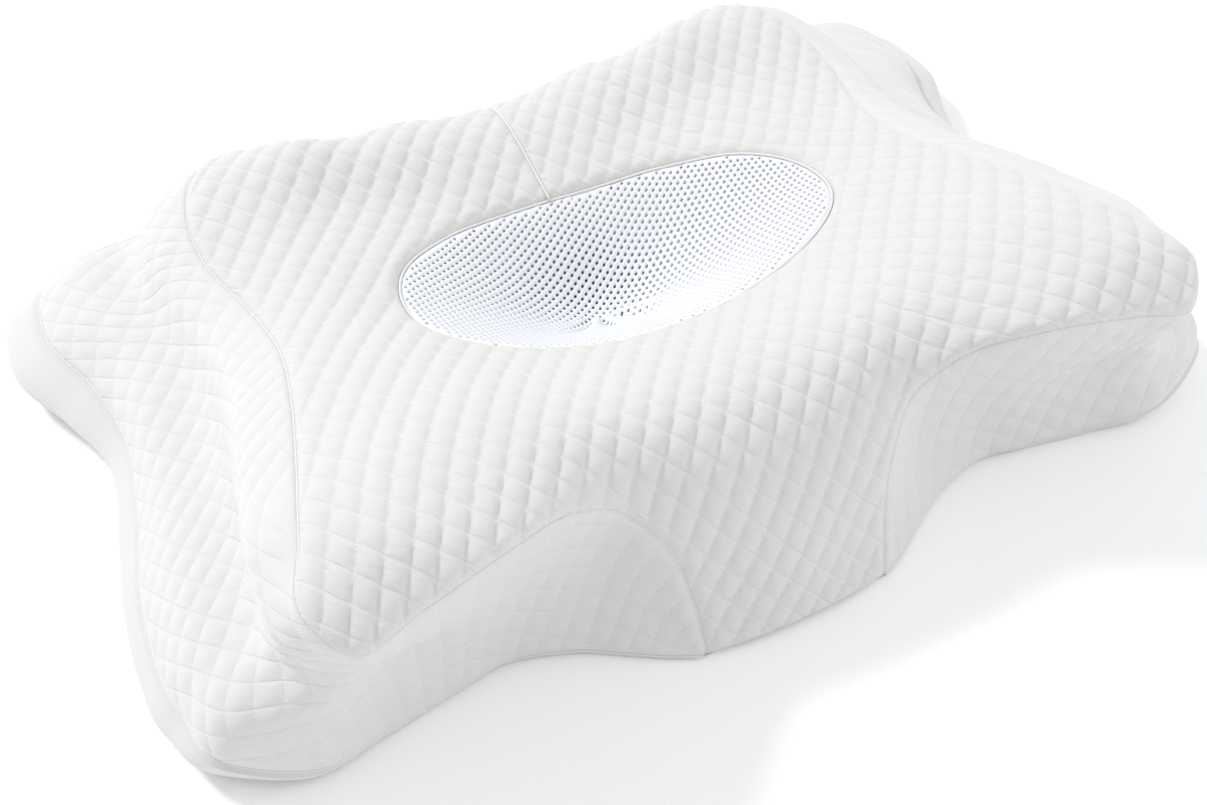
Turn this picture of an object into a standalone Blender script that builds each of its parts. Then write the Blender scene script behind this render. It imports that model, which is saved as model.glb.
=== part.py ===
"""A two-tier cervical pillow. The tables below are in millimetres for the right half; the left half mirrors it."""

import math

import bpy
import numpy as np
from mathutils import Vector
from mathutils.geometry import delaunay_2d_cdt

MM = 0.001
PANEL_THICK = 3.0
GAP = 0.55
EDGE_GAP = 0.6
QUILT_RISE = 1.3
QUILT_ACROSS = 17.6
QUILT_ALONG = 20.4
QUILT_CLEAR = 3.2
COARSE_STEP = 21.0
STATIONS = 57
END_CUT = 0.01
SIDE_RINGS = 9
RIM_POINTS = 44
DISH_STEP = 14.0
TAB_EDGE_POINTS = 5
OVAL_CENTRE_X = 11.0
OVAL_CENTRE_Y = 37.0
OVAL_HALF_LENGTH = 131.0
OVAL_HALF_WIDTH = 67.0
FOOT_TUCK = 13.0
BULGE_SHARE = 0.57
TURN_SHARE = 0.28
TURN_IN = 5.0
TAB_TUCK = 0.6
BAND_LEAST = 0.3
BAND_FADE = (3.0, 20.0)
PANEL_SLACK = 12.0
SEAM_SAMPLES = 56
MITRE_LEAST = 0.62
ROW_HEIGHT = 0.87
NET_CLEAR = 0.45
FLAT_NUDGE = 1.5
STATION_NUDGE = 0.003
RISE_NUDGE = 0.012
HEM_NUDGE = 0.04
CENTRE_Y = 19.14

# Stations run from the front tab's foot round the side to the back tab's foot.
# seam: the top seam. run: how far along the flat top panel it lies, front to back.
SEAM = [
    ("front tab foot", 54.0, -180.0, 3.2, -248.0),
    ("tab low", 57.0, -168.0, 36.0, -214.0),
    ("tab high", 66.0, -155.0, 70.0, -178.0),
    ("recess roof", 84.0, -142.0, 92.0, -154.0),
    ("roof end", 106.0, -144.0, 108.0, -152.0),
    ("lobe under", 147.0, -160.0, 123.0, -165.0),
    ("lobe front", 194.0, -171.0, 121.0, -178.0),
    ("lobe tip", 228.0, -176.0, 117.0, -186.0),
    ("lobe corner", 243.0, -156.0, 129.0, -160.0),
    ("lobe side", 230.0, -118.0, 136.0, -121.0),
    ("front flank", 213.0, -65.0, 128.0, -67.0),
    ("waist front", 201.0, -22.0, 118.0, -23.0),
    ("waist", 192.0, 26.0, 104.0, 26.0),
    ("waist back", 195.0, 80.0, 92.0, 80.0),
    ("back flank", 203.0, 120.0, 90.0, 120.0),
    ("back lobe side", 201.0, 158.0, 94.0, 158.0),
    ("back lobe corner", 189.0, 187.0, 96.0, 189.0),
    ("back lobe tip", 165.0, 206.0, 89.0, 213.0),
    ("back lobe under", 144.0, 206.0, 82.0, 214.0),
    ("back roof", 119.0, 203.0, 74.0, 213.0),
    ("back tab high", 86.0, 197.0, 58.0, 221.0),
    ("back tab mid", 65.0, 199.0, 33.0, 243.0),
    ("back tab foot", 54.0, 206.0, 3.2, 270.0),
]
# The wall under the seam, the crease between the tiers, the shoulder of the lower tier.
WALLS = [
    ("front tab foot", 54.3, -180.0, 3.2, 54.6, -180.0, 3.2, 55.0, -180.0, 3.2),
    ("tab low", 61.0, -168.0, 28.0, 65.0, -167.0, 19.0, 69.0, -169.0, 10.0),
    ("tab high", 72.0, -153.0, 55.0, 79.0, -153.0, 36.0, 85.0, -157.0, 18.0),
    ("recess roof", 91.0, -140.0, 74.0, 98.0, -140.0, 47.0, 105.0, -144.0, 23.0),
    ("roof end", 113.0, -142.0, 84.0, 122.0, -138.0, 54.0, 131.0, -137.0, 27.0),
    ("lobe under", 156.0, -154.0, 92.0, 161.0, -144.0, 58.0, 167.0, -140.0, 28.0),
    ("lobe front", 198.0, -163.0, 94.0, 202.0, -147.0, 62.0, 207.0, -146.0, 34.0),
    ("lobe tip", 232.0, -167.0, 95.0, 233.0, -144.0, 66.0, 245.0, -152.0, 48.0),
    ("lobe corner", 253.0, -147.0, 106.0, 244.0, -119.0, 66.0, 278.0, -139.0, 52.0),
    ("lobe side", 248.0, -114.0, 122.0, 248.0, -95.0, 67.0, 287.0, -106.0, 52.0),
    ("front flank", 238.0, -65.0, 118.0, 247.0, -61.0, 67.0, 286.0, -69.0, 52.0),
    ("waist front", 228.0, -22.0, 109.0, 243.0, -24.0, 67.0, 280.0, -30.0, 51.0),
    ("waist", 218.0, 26.0, 97.0, 235.0, 25.0, 66.0, 270.0, 20.0, 50.0),
    ("waist back", 217.0, 79.0, 85.0, 231.0, 76.0, 66.0, 264.0, 72.0, 53.0),
    ("back flank", 222.0, 119.0, 82.0, 234.0, 113.0, 66.0, 262.0, 111.0, 54.0),
    ("back lobe side", 224.0, 160.0, 80.0, 236.0, 154.0, 64.0, 274.0, 159.0, 53.0),
    ("back lobe corner", 209.0, 196.0, 80.0, 223.0, 190.0, 62.0, 266.0, 199.0, 51.0),
    ("back lobe tip", 174.0, 209.0, 74.0, 186.0, 205.0, 56.0, 220.0, 212.0, 42.0),
    ("back lobe under", 153.0, 206.0, 68.0, 162.0, 202.0, 50.0, 184.0, 205.0, 34.0),
    ("back roof", 129.0, 201.0, 60.0, 138.0, 198.0, 43.0, 151.0, 199.0, 25.0),
    ("back tab high", 94.0, 195.0, 46.0, 101.0, 194.0, 32.0, 108.0, 196.0, 17.0),
    ("back tab mid", 70.0, 198.0, 26.0, 75.0, 198.0, 18.0, 80.0, 200.0, 9.0),
    ("back tab foot", 54.3, 206.0, 3.2, 54.6, 206.0, 3.2, 55.0, 206.0, 3.2),
]
# The lower seam and the roll of the bottom panel below it.
BAND = [
    ("front tab foot", 55.3, -180.0, 3.2, 55.5, -180.0),
    ("tab low", 72.0, -172.0, 3.4, 73.0, -172.5),
    ("tab high", 90.0, -161.0, 3.4, 91.0, -161.5),
    ("recess roof", 112.0, -148.0, 3.4, 113.0, -148.5),
    ("roof end", 139.0, -139.0, 3.4, 140.0, -139.5),
    ("lobe under", 172.0, -142.0, 3.4, 173.0, -142.5),
    ("lobe front", 212.0, -149.0, 5.0, 213.0, -150.0),
    ("lobe tip", 254.0, -158.0, 15.0, 256.0, -156.0),
    ("lobe corner", 290.0, -143.0, 27.0, 294.0, -137.0),
    ("lobe side", 301.0, -108.0, 30.0, 309.0, -109.0),
    ("front flank", 303.0, -73.0, 30.0, 312.0, -74.0),
    ("waist front", 298.0, -33.0, 30.0, 308.0, -34.0),
    ("waist", 285.0, 17.0, 30.0, 297.0, 16.0),
    ("waist back", 276.0, 72.0, 33.0, 287.0, 71.0),
    ("back flank", 281.0, 112.0, 38.0, 299.0, 112.0),
    ("back lobe side", 294.0, 160.0, 40.0, 316.0, 163.0),
    ("back lobe corner", 283.0, 203.0, 38.0, 300.0, 213.0),
    ("back lobe tip", 236.0, 219.0, 20.0, 239.0, 222.0),
    ("back lobe under", 197.0, 209.0, 9.0, 199.0, 211.0),
    ("back roof", 160.0, 202.0, 3.8, 161.0, 202.5),
    ("back tab high", 114.0, 199.0, 3.4, 115.0, 199.5),
    ("back tab mid", 84.0, 202.0, 3.4, 85.0, 202.5),
    ("back tab foot", 55.3, 206.0, 3.2, 55.5, 206.0),
]
# Points inside the top panel: x, run along the flat panel, y, z.
CROWN = [
    ("tab foot", 0.0, -248.0, -184.0, 3.2),
    ("tab foot side", 30.0, -248.0, -183.0, 3.2),
    ("tab low", 0.0, -214.0, -176.0, 37.0),
    ("tab high", 0.0, -178.0, -160.0, 71.0),
    ("tab high side", 40.0, -178.0, -158.0, 71.0),
    ("tab shoulder", 0.0, -150.0, -143.0, 95.0),
    ("tab shoulder side", 50.0, -150.0, -141.0, 97.0),
    ("roll", 0.0, -126.0, -124.0, 109.0),
    ("roll side", 60.0, -126.0, -124.0, 113.0),
    ("crest", 0.0, -100.0, -100.0, 112.0),
    ("crest side", 70.0, -106.0, -106.0, 119.0),
    ("crest out", 120.0, -118.0, -119.0, 127.0),
    ("lobe crest", 165.0, -128.0, -130.0, 137.0),
    ("lobe top", 205.0, -134.0, -137.0, 141.0),
    ("lobe top side", 190.0, -95.0, -95.0, 138.0),
    ("front slope", 0.0, -62.0, -62.0, 99.0),
    ("front slope side", 80.0, -60.0, -60.0, 108.0),
    ("front slope out", 150.0, -60.0, -60.0, 125.0),
    ("shoulder rise", 160.0, -10.0, -10.0, 111.0),
    ("shoulder rest", 165.0, 40.0, 40.0, 99.0),
    ("side back", 165.0, 95.0, 95.0, 91.0),
    ("back lobe top", 160.0, 150.0, 150.0, 97.0),
    ("back slope", 0.0, 130.0, 130.0, 74.0),
    ("back slope side", 70.0, 132.0, 132.0, 79.0),
    ("back slope out", 120.0, 140.0, 140.0, 88.0),
    ("back crest", 0.0, 172.0, 172.0, 83.0),
    ("back crest side", 70.0, 172.0, 172.0, 92.0),
    ("back crest out", 125.0, 182.0, 182.0, 102.0),
    ("back turn", 0.0, 197.0, 193.0, 75.0),
    ("back turn side", 65.0, 201.0, 197.0, 80.0),
    ("back face", 0.0, 233.0, 204.0, 41.0),
    ("back foot", 0.0, 270.0, 208.0, 3.2),
    ("back foot side", 30.0, 270.0, 207.5, 3.2),
    ("rim front", 0.0, -23.0, -23.0, 76.0),
    ("rim front side", 60.0, -15.0, -15.0, 81.0),
    ("rim corner", 104.0, 5.0, 5.0, 89.0),
    ("rim end", 128.0, 43.0, 43.0, 87.0),
    ("rim back corner", 104.0, 81.0, 81.0, 80.0),
    ("rim back side", 60.0, 101.0, 101.0, 71.0),
    ("rim back", 0.0, 109.0, 109.0, 67.0),
    ("dip front", 0.0, 5.0, 5.0, 54.0),
    ("dip front low", 0.0, 26.0, 26.0, 35.0),
    ("dip floor", 0.0, 44.0, 44.0, 28.0),
    ("dip back", 0.0, 76.0, 76.0, 48.0),
    ("dip near", 30.0, 42.0, 42.0, 37.0),
    ("dip mid", 62.0, 42.0, 42.0, 56.0),
    ("dip out", 96.0, 42.0, 42.0, 75.0),
    ("dip front side", 50.0, 8.0, 8.0, 62.0),
    ("dip back side", 50.0, 78.0, 78.0, 58.0),
]


def curve_through(knots, values, where):
    """A smooth curve through the rows of values, with a slope at each knot taken from its neighbours."""
    slopes = np.empty_like(values)
    spans = np.diff(knots)[:, None]
    rises = np.diff(values, axis=0) / spans
    slopes[0] = rises[0]
    slopes[-1] = rises[-1]
    slopes[1:-1] = (rises[:-1] * spans[1:] + rises[1:] * spans[:-1]) / (spans[1:] + spans[:-1])
    place = np.clip(np.searchsorted(knots, where, side="right") - 1, 0, len(knots) - 2)
    span = (knots[place + 1] - knots[place])[:, None]
    part = ((where - knots[place])[:, None] / span).clip(0.0, 1.0)
    start = values[place] * (2 * part**3 - 3 * part**2 + 1)
    end = values[place + 1] * (3 * part**2 - 2 * part**3)
    lean = slopes[place] * (part**3 - 2 * part**2 + part) + slopes[place + 1] * (part**3 - part**2)
    return start + end + lean * span


def columns(table):
    return np.array([row[1:] for row in table])


SEAM_ROWS = columns(SEAM)
WALL_ROWS = columns(WALLS)
BAND_ROWS = columns(BAND)
STEPS = np.linalg.norm(np.diff(SEAM_ROWS[:, :3], axis=0), axis=1)
STATION_KNOTS = np.concatenate([[0.0], np.cumsum(STEPS)])
SEAM_LENGTH = STATION_KNOTS[-1]
STATION_KNOTS = STATION_KNOTS / SEAM_LENGTH


def seam_at(station):
    """x, y, z and run of the top seam."""
    return curve_through(STATION_KNOTS, SEAM_ROWS, station)


def unit(vectors):
    return vectors / np.maximum(np.linalg.norm(vectors, axis=1, keepdims=True), 1e-9)


class ThinPlate:
    """The smoothest surface over the flat panel that passes through given points."""

    def __init__(self, flat, values, slack):
        count = len(flat)
        self.flat = flat
        matrix = np.zeros((count + 3, count + 3))
        matrix[:count, :count] = self.bend(flat) + slack * np.eye(count)
        matrix[:count, count] = 1.0
        matrix[:count, count + 1 : count + 3] = flat
        matrix[count:, :count] = matrix[:count, count:].T
        wanted = np.zeros((count + 3, values.shape[1]))
        wanted[:count] = values
        self.weights = np.linalg.solve(matrix, wanted)

    def bend(self, where):
        squared = ((where[:, None, :] - self.flat[None, :, :]) ** 2).sum(axis=2)
        return 0.5 * squared * np.log(squared + 1e-9)

    def at(self, where):
        linear = np.concatenate([np.ones((len(where), 1)), where], axis=1)
        return self.bend(where) @ self.weights[:-3] + linear @ self.weights[-3:]


def make_top_surface():
    seam = seam_at(np.linspace(0.0, 1.0, SEAM_SAMPLES))
    crown = columns(CROWN)
    flat = np.concatenate([seam[:, [0, 3]], crown[:, :2]])
    shape = np.concatenate([seam[:, 1:3], crown[:, 2:4]])
    off_axis = flat[:, 0] > 1.0
    mirrored = flat[off_axis] * [-1.0, 1.0]
    return ThinPlate(np.concatenate([flat, mirrored]), np.concatenate([shape, shape[off_axis]]), PANEL_SLACK)


TOP_SURFACE = make_top_surface()


def top_points(flat):
    return np.column_stack([flat[:, 0], TOP_SURFACE.at(flat)])


def top_normals(flat):
    across = top_points(flat + [FLAT_NUDGE, 0.0]) - top_points(flat - [FLAT_NUDGE, 0.0])
    along = top_points(flat + [0.0, FLAT_NUDGE]) - top_points(flat - [0.0, FLAT_NUDGE])
    return unit(np.cross(across, along))


def side_profile(station):
    """The five points that shape the side at each station, from the lower seam up to the top seam."""
    walls = curve_through(STATION_KNOTS, WALL_ROWS, station)
    band = curve_through(STATION_KNOTS, BAND_ROWS, station)
    seam = seam_at(station)
    return np.stack([band[:, :3], walls[:, 6:9], walls[:, 3:6], walls[:, :3], seam[:, :3]], axis=1)


def side_heights(station):
    """Running length up the five points at each station."""
    profile = side_profile(station)
    lengths = np.linalg.norm(np.diff(profile, axis=1), axis=2)
    return np.concatenate([np.zeros((len(station), 1)), np.cumsum(lengths, axis=1)], axis=1)


def side_points(station, rise):
    """Points of the right side: rise is 0 at the lower seam and 1 at the top seam."""
    profile = side_profile(station)
    heights = side_heights(station)
    points = np.empty((len(station), 3))
    for i in range(len(station)):
        knots = heights[i] / max(heights[i, -1], 1e-6)
        if heights[i, -1] < 0.5:
            points[i] = profile[i, 0] * (1 - rise[i]) + profile[i, -1] * rise[i]
        else:
            points[i] = curve_through(knots, profile[i], rise[i : i + 1])[0]
    return points


def side_normals(station, rise):
    station = np.clip(station, STATION_NUDGE, 1.0 - STATION_NUDGE)
    rise = np.clip(rise, RISE_NUDGE, 1.0 - RISE_NUDGE)
    along = side_points(station + STATION_NUDGE, rise) - side_points(station - STATION_NUDGE, rise)
    up = side_points(station, rise + RISE_NUDGE) - side_points(station, rise - RISE_NUDGE)
    return unit(np.cross(along, up))


def oval(count):
    turn = np.linspace(0.0, 2 * math.pi, count, endpoint=False)
    across = OVAL_CENTRE_X + OVAL_HALF_LENGTH * np.cos(turn)
    return np.column_stack([across, OVAL_CENTRE_Y + OVAL_HALF_WIDTH * np.sin(turn)])


def inside(points, outline):
    """Which points lie within a closed outline."""
    x, y = points[:, 0:1], points[:, 1:2]
    ax, ay = outline[:, 0], outline[:, 1]
    bx, by = np.roll(ax, -1), np.roll(ay, -1)
    crosses = (ay > y) != (by > y)
    reach = ax + (y - ay) * (bx - ax) / np.where(by == ay, 1e-9, by - ay)
    return (crosses & (x < reach)).sum(axis=1) % 2 == 1


def distance_to(points, outline):
    """The distance from each point to the nearest side of a closed outline."""
    start = outline[None]
    side = np.roll(outline, -1, axis=0)[None] - start
    along = ((points[:, None] - start) * side).sum(axis=2) / np.maximum((side**2).sum(axis=2), 1e-9)
    nearest = start + along.clip(0.0, 1.0)[:, :, None] * side
    return np.linalg.norm(points[:, None] - nearest, axis=2).min(axis=1)


def triangulate(points, loops, channels):
    """Triangles over flat points that keep each loop and each channel as edges."""
    edges = list(channels)
    for loop in loops:
        edges += [(loop[i], loop[(i + 1) % len(loop)]) for i in range(len(loop))]
    made = delaunay_2d_cdt([Vector(p) for p in points], edges, [], 0, 1e-7, True)
    flat = np.array([tuple(v) for v in made[0]])
    origin = [ids[0] for ids in made[3]]
    order = np.array(origin)
    faces = np.array([tuple(order[i] for i in face) for face in made[2]])
    assert len(flat) == len(points), "the flat net gained or lost a point"
    return faces


def wound(points, faces):
    """The faces turned counter-clockwise, without flat slivers."""
    a, b, c = points[faces[:, 0]], points[faces[:, 1]], points[faces[:, 2]]
    area = (b[:, 0] - a[:, 0]) * (c[:, 1] - a[:, 1]) - (b[:, 1] - a[:, 1]) * (c[:, 0] - a[:, 0])
    faces = faces.copy()
    faces[area < 0] = faces[area < 0][:, ::-1]
    return faces[np.abs(area) > 1e-3]


def within(points, faces, outline, hole=None):
    centres = points[faces].mean(axis=1)
    keep = inside(centres, outline)
    if hole is not None:
        keep &= ~inside(centres, hole)
    return faces[keep]


def quilted_net(outline, hole, across, along, clear):
    """A flat net whose channels cross at the low points and whose other points are the tops of the diamonds.

    Returns the points, the faces and how high each point is raised, 0 or 1."""
    low, high = outline.min(axis=0), outline.max(axis=0)
    step = np.array([across / 2, along / 2])
    first = np.floor(low / step).astype(int)
    last = np.ceil(high / step).astype(int)
    cells = [(m, n) for n in range(first[1], last[1] + 1) for m in range(first[0], last[0] + 1)]
    spots = np.array(cells) * step
    keep = inside(spots, outline) & (distance_to(spots, outline) > clear)
    edge = outline
    loops = [list(range(len(outline)))]
    if hole is not None:
        keep &= ~inside(spots, hole) & (distance_to(spots, hole) > clear)
        loops.append(list(range(len(outline), len(outline) + len(hole))))
        edge = np.concatenate([outline, hole])
    kept = [cell for cell, ok in zip(cells, keep) if ok]
    number = {cell: len(edge) + i for i, cell in enumerate(kept)}
    points = np.concatenate([edge, spots[keep]])
    raised = np.concatenate([np.zeros(len(edge)), [abs(m + n) % 2 for m, n in kept]])
    channels = []
    for m, n in kept:
        if (m + n) % 2:
            continue
        for other in ((m + 1, n + 1), (m - 1, n + 1)):
            if other in number:
                channels.append((number[(m, n)], number[other]))
    faces = wound(points, triangulate(points, loops, channels))
    return points, within(points, faces, outline, hole), raised


def staggered(low, high, step):
    """Flat points in staggered rows, mirrored about x = 0."""
    row = step * ROW_HEIGHT
    count = int((high[1] - low[1]) / row) + 2
    reach = int(high[0] / step) + 2
    spots = []
    for n in range(count):
        shift = 0.5 * (n % 2)
        spots += [(step * (m + shift), low[1] + n * row) for m in range(-reach, reach + 1)]
    return np.array(spots)


def coarse_net(outline, hole):
    """A plain flat net, whose points are shared by the inner faces and the filled body."""
    low, high = outline.min(axis=0), outline.max(axis=0)
    wide = staggered(low, high, COARSE_STEP)
    keep = inside(wide, outline) & (distance_to(wide, outline) > COARSE_STEP * NET_CLEAR)
    keep &= ~inside(wide, hole) & (distance_to(wide, hole) > COARSE_STEP * NET_CLEAR)
    dish = staggered(low, high, DISH_STEP)
    dish = dish[inside(dish, hole) & (distance_to(dish, hole) > DISH_STEP * NET_CLEAR)]
    points = np.concatenate([outline, hole, wide[keep], dish])
    loops = [list(range(len(outline))), list(range(len(outline), len(outline) + len(hole)))]
    return points, wound(points, triangulate(points, loops, []))


def node(name, points, faces, material, sharp):
    mesh = bpy.data.meshes.new(name)
    placed = (np.asarray(points) - [0.0, CENTRE_Y, 0.0]) * MM
    mesh.from_pydata([tuple(p) for p in placed], [], [tuple(map(int, f)) for f in faces])
    mesh.validate()
    mesh.materials.append(material)
    mesh.shade_smooth()
    mesh.set_sharp_from_angle(angle=math.radians(sharp))
    thing = bpy.data.objects.new(name, mesh)
    bpy.context.collection.objects.link(thing)
    return thing


def cloth(name, colour, roughness):
    material = bpy.data.materials.new(name)
    material.use_nodes = True
    shader = material.node_tree.nodes["Principled BSDF"]
    shader.inputs["Base Color"].default_value = (*colour, 1.0)
    shader.inputs["Roughness"].default_value = roughness
    return material


def station_list():
    """Stations round the right side, closer together at the two tabs."""
    middle = np.linspace(2.5 * END_CUT, 1.0 - 2.5 * END_CUT, STATIONS - 4)
    return np.concatenate([[0.0, END_CUT], middle, [1.0 - END_CUT, 1.0]])


def seam_frame(stations):
    """Where each panel's edge and the filled body lie at the top seam of the right side."""
    seam = seam_at(stations)
    held = np.clip(stations, END_CUT, 1.0 - END_CUT)
    top = top_normals(seam[:, [0, 3]])
    side = side_normals(held, np.ones(len(held)))
    middle = unit(top + side)
    reach = 1.0 / np.maximum((middle * top).sum(axis=1, keepdims=True), MITRE_LEAST)
    apart = unit(top - side)
    part_line = apart - middle * (apart * middle).sum(axis=1, keepdims=True)
    return seam, middle * reach, unit(part_line)


MIRROR = np.array([-1.0, 1.0, 1.0])
ST = station_list()
SEAM_POINTS, SEAM_OUT, SEAM_APART = seam_frame(ST)
BACK_EDGE = np.linspace(SEAM_POINTS[-1, 0], -SEAM_POINTS[-1, 0], TAB_EDGE_POINTS + 2)[1:-1]
FRONT_EDGE = np.linspace(-SEAM_POINTS[0, 0], SEAM_POINTS[0, 0], TAB_EDGE_POINTS + 2)[1:-1]


def top_outline():
    """The flat outline of the top panel: right seam, back edge, left seam, front edge."""
    right = SEAM_POINTS[:, [0, 3]]
    left = right[::-1] * [-1.0, 1.0]
    back = np.column_stack([BACK_EDGE, np.full(TAB_EDGE_POINTS, SEAM_POINTS[-1, 3])])
    front = np.column_stack([FRONT_EDGE, np.full(TAB_EDGE_POINTS, SEAM_POINTS[0, 3])])
    return np.concatenate([right, back, left, front])


def top_edge(depth, parting):
    """The outline in space, sunk by depth and drawn back from the side panels by parting."""
    right = SEAM_POINTS[:, :3] - SEAM_OUT * depth + SEAM_APART * parting
    left = right[::-1] * MIRROR
    edges = []
    for across, run in ((BACK_EDGE, SEAM_POINTS[-1, 3]), (FRONT_EDGE, SEAM_POINTS[0, 3])):
        flat = np.column_stack([across, np.full(len(across), run)])
        edges.append(top_points(flat) - top_normals(flat) * depth)
    return np.concatenate([right, edges[0], left, edges[1]])


def top_shape(flat, edge_points, depth, rim_shift):
    """Points of a net over the top, with its outline and the rim of the oval put in place."""
    shifted = flat.copy()
    rim = slice(len(edge_points), len(edge_points) + RIM_POINTS)
    outward = unit(flat[rim] - [OVAL_CENTRE_X, OVAL_CENTRE_Y])
    shifted[rim] += outward * rim_shift
    points = top_points(shifted) - top_normals(shifted) * np.reshape(depth, (-1, 1))
    points[: len(edge_points)] = edge_points
    return points


def loop_faces(first, second):
    """Triangles between two loops of equal length, from the first to the second."""
    faces = []
    for i in range(len(first)):
        j = (i + 1) % len(first)
        faces.append((first[i], first[j], second[i]))
        faces.append((first[j], second[j], second[i]))
    return faces


def make_top(material, outline, net, coarse_points, coarse_faces):
    flat, faces, raised = net
    rim = oval(RIM_POINTS)
    count = len(outline)
    outer = top_shape(flat, top_edge(0.0, EDGE_GAP / 2), -raised * QUILT_RISE, EDGE_GAP / 2)
    inner = top_shape(coarse_points, top_edge(PANEL_THICK, EDGE_GAP / 2), PANEL_THICK, EDGE_GAP / 2)
    back = within(coarse_points, coarse_faces, outline, rim)[:, ::-1]
    shift = len(outer)
    around = list(range(count))
    round_rim = list(range(count, count + RIM_POINTS))
    joined = [tuple(f) for f in faces] + [tuple(f + shift) for f in back]
    joined += loop_faces([i + shift for i in around], around)
    joined += loop_faces(round_rim, [i + shift for i in round_rim])
    points, joined = drop_unused(np.concatenate([outer, inner]), joined)
    node("top_panel", points, joined, material, 40)


def drop_unused(points, faces):
    faces = np.array(faces)
    used, index = np.unique(faces, return_inverse=True)
    return points[used], index.reshape(faces.shape)


def make_mesh_panel(material, outline, coarse_points, coarse_faces):
    rim = oval(RIM_POINTS)
    edge = top_edge(0.0, 0.0)
    shape = [top_shape(coarse_points, edge, depth, -EDGE_GAP / 2) for depth in (0.0, PANEL_THICK)]
    dish = within(coarse_points, coarse_faces, rim)
    shift = len(coarse_points)
    round_rim = list(range(len(outline), len(outline) + RIM_POINTS))
    joined = [tuple(f) for f in dish] + [tuple(f + shift) for f in dish[:, ::-1]]
    joined += loop_faces([i + shift for i in round_rim], round_rim)
    points, joined = drop_unused(np.concatenate(shape), joined)
    node("mesh_panel", points, joined, material, 60)


def ring_number(station, ring, collapsed):
    """The number of a point of the side's plain net: its narrow ends have only a top and a bottom point."""
    if collapsed and station in (1, STATIONS - 2):
        ring = 0 if ring < SIDE_RINGS / 2 else SIDE_RINGS - 1
    return station * SIDE_RINGS + ring


def side_net(depth, seam_parting, hem_parting):
    """The side's plain net at a depth below its outer face: every station has the same rings."""
    rises = np.linspace(0.0, 1.0, SIDE_RINGS)
    station = np.repeat(ST, SIDE_RINGS)
    rise = np.tile(rises, len(ST))
    held = np.clip(station, END_CUT, 1.0 - END_CUT)
    normal = side_normals(held, rise)
    points = side_points(station, rise) - normal * depth
    hem = rise < 1e-6
    points[hem] += up_the_side(held[hem]) * hem_parting
    points[rise > 1.0 - 1e-6] = SEAM_POINTS[:, :3] - SEAM_OUT * depth - SEAM_APART * seam_parting
    return points


def up_the_side(station):
    """The direction up the side from the lower seam."""
    low = np.zeros(len(station))
    return unit(side_points(station, low + HEM_NUDGE) - side_points(station, low))


def side_net_faces():
    faces = []
    for i in range(1, STATIONS - 2):
        for k in range(SIDE_RINGS - 1):
            a, b = ring_number(i, k, True), ring_number(i + 1, k, True)
            c, d = ring_number(i + 1, k + 1, True), ring_number(i, k + 1, True)
            faces += [(a, b, d), (b, c, d)]
    return [f for f in faces if len(set(f)) == 3]


def make_side(material):
    """The right side panel, and its mirror on the left."""
    stations = ST[1:-1]
    heights = side_heights(stations)[:, -1]
    bottom = np.column_stack([stations * SEAM_LENGTH, np.zeros(len(stations))])
    top = np.column_stack([stations * SEAM_LENGTH, heights])[::-1]
    outline = np.concatenate([bottom, top])
    flat, faces, raised = quilted_net(outline, None, QUILT_ACROSS, QUILT_ALONG, QUILT_CLEAR)
    station = flat[:, 0] / SEAM_LENGTH
    rise = (flat[:, 1] / side_heights(station)[:, -1]).clip(0.0, 1.0)
    outer = side_points(station, rise) + side_normals(station, rise) * raised[:, None] * QUILT_RISE
    count = len(stations)
    outer[:count] += up_the_side(stations) * EDGE_GAP / 2
    seam = SEAM_POINTS[1:-1, :3] - SEAM_APART[1:-1] * EDGE_GAP / 2
    outer[count : 2 * count] = seam[::-1]
    inner = side_net(PANEL_THICK, EDGE_GAP / 2, EDGE_GAP / 2)
    shift = len(outer)
    hem_loop = [ring_number(i, 0, False) for i in range(1, STATIONS - 1)]
    seam_loop = [ring_number(i, SIDE_RINGS - 1, False) for i in range(STATIONS - 2, 0, -1)]
    inner_loop = [i + shift for i in hem_loop + seam_loop]
    joined = [tuple(f) for f in faces]
    joined += [(a + shift, c + shift, b + shift) for a, b, c in side_net_faces()]
    joined += loop_faces(inner_loop, list(range(2 * count)))
    points, joined = drop_unused(np.concatenate([outer, inner]), joined)
    node("side_panel_right", points, joined, material, 40)
    node("side_panel_left", points * MIRROR, joined[:, ::-1], material, 40)


def smooth_step(values, low, high):
    part = ((values - low) / (high - low)).clip(0.0, 1.0)
    return part * part * (3.0 - 2.0 * part)


def band_loops():
    """Closed loops of the body from the lower seam to the foot, each in the order of the top outline."""
    depth = PANEL_THICK + GAP
    rows = curve_through(STATION_KNOTS, BAND_ROWS, ST)
    held = np.clip(ST, END_CUT, 1.0 - END_CUT)
    flush = smooth_step(rows[:, 2:3], *BAND_FADE)
    outward = side_normals(held, np.zeros(len(ST)))
    down = -up_the_side(held)
    outward_flat = unit(outward * [1.0, 1.0, 0.0])
    tucked = rows[:, :3] - outward * depth + down * EDGE_GAP
    ledge = tucked + outward * depth * flush
    bulge_z = np.maximum(np.minimum(rows[:, 2] * BULGE_SHARE, tucked[:, 2] - EDGE_GAP / 4), BAND_LEAST)
    bulge = np.column_stack([rows[:, 3:5], bulge_z]) - outward_flat * depth * (1.0 - flush)
    turn = bulge - outward_flat * TURN_IN * flush
    turn[:, 2] = bulge_z * TURN_SHARE
    foot = bulge - outward_flat * (TAB_TUCK + (FOOT_TUCK - TAB_TUCK) * flush)
    foot[:, 2] = 0.0
    return [tucked, ledge, bulge, turn, foot]


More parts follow.
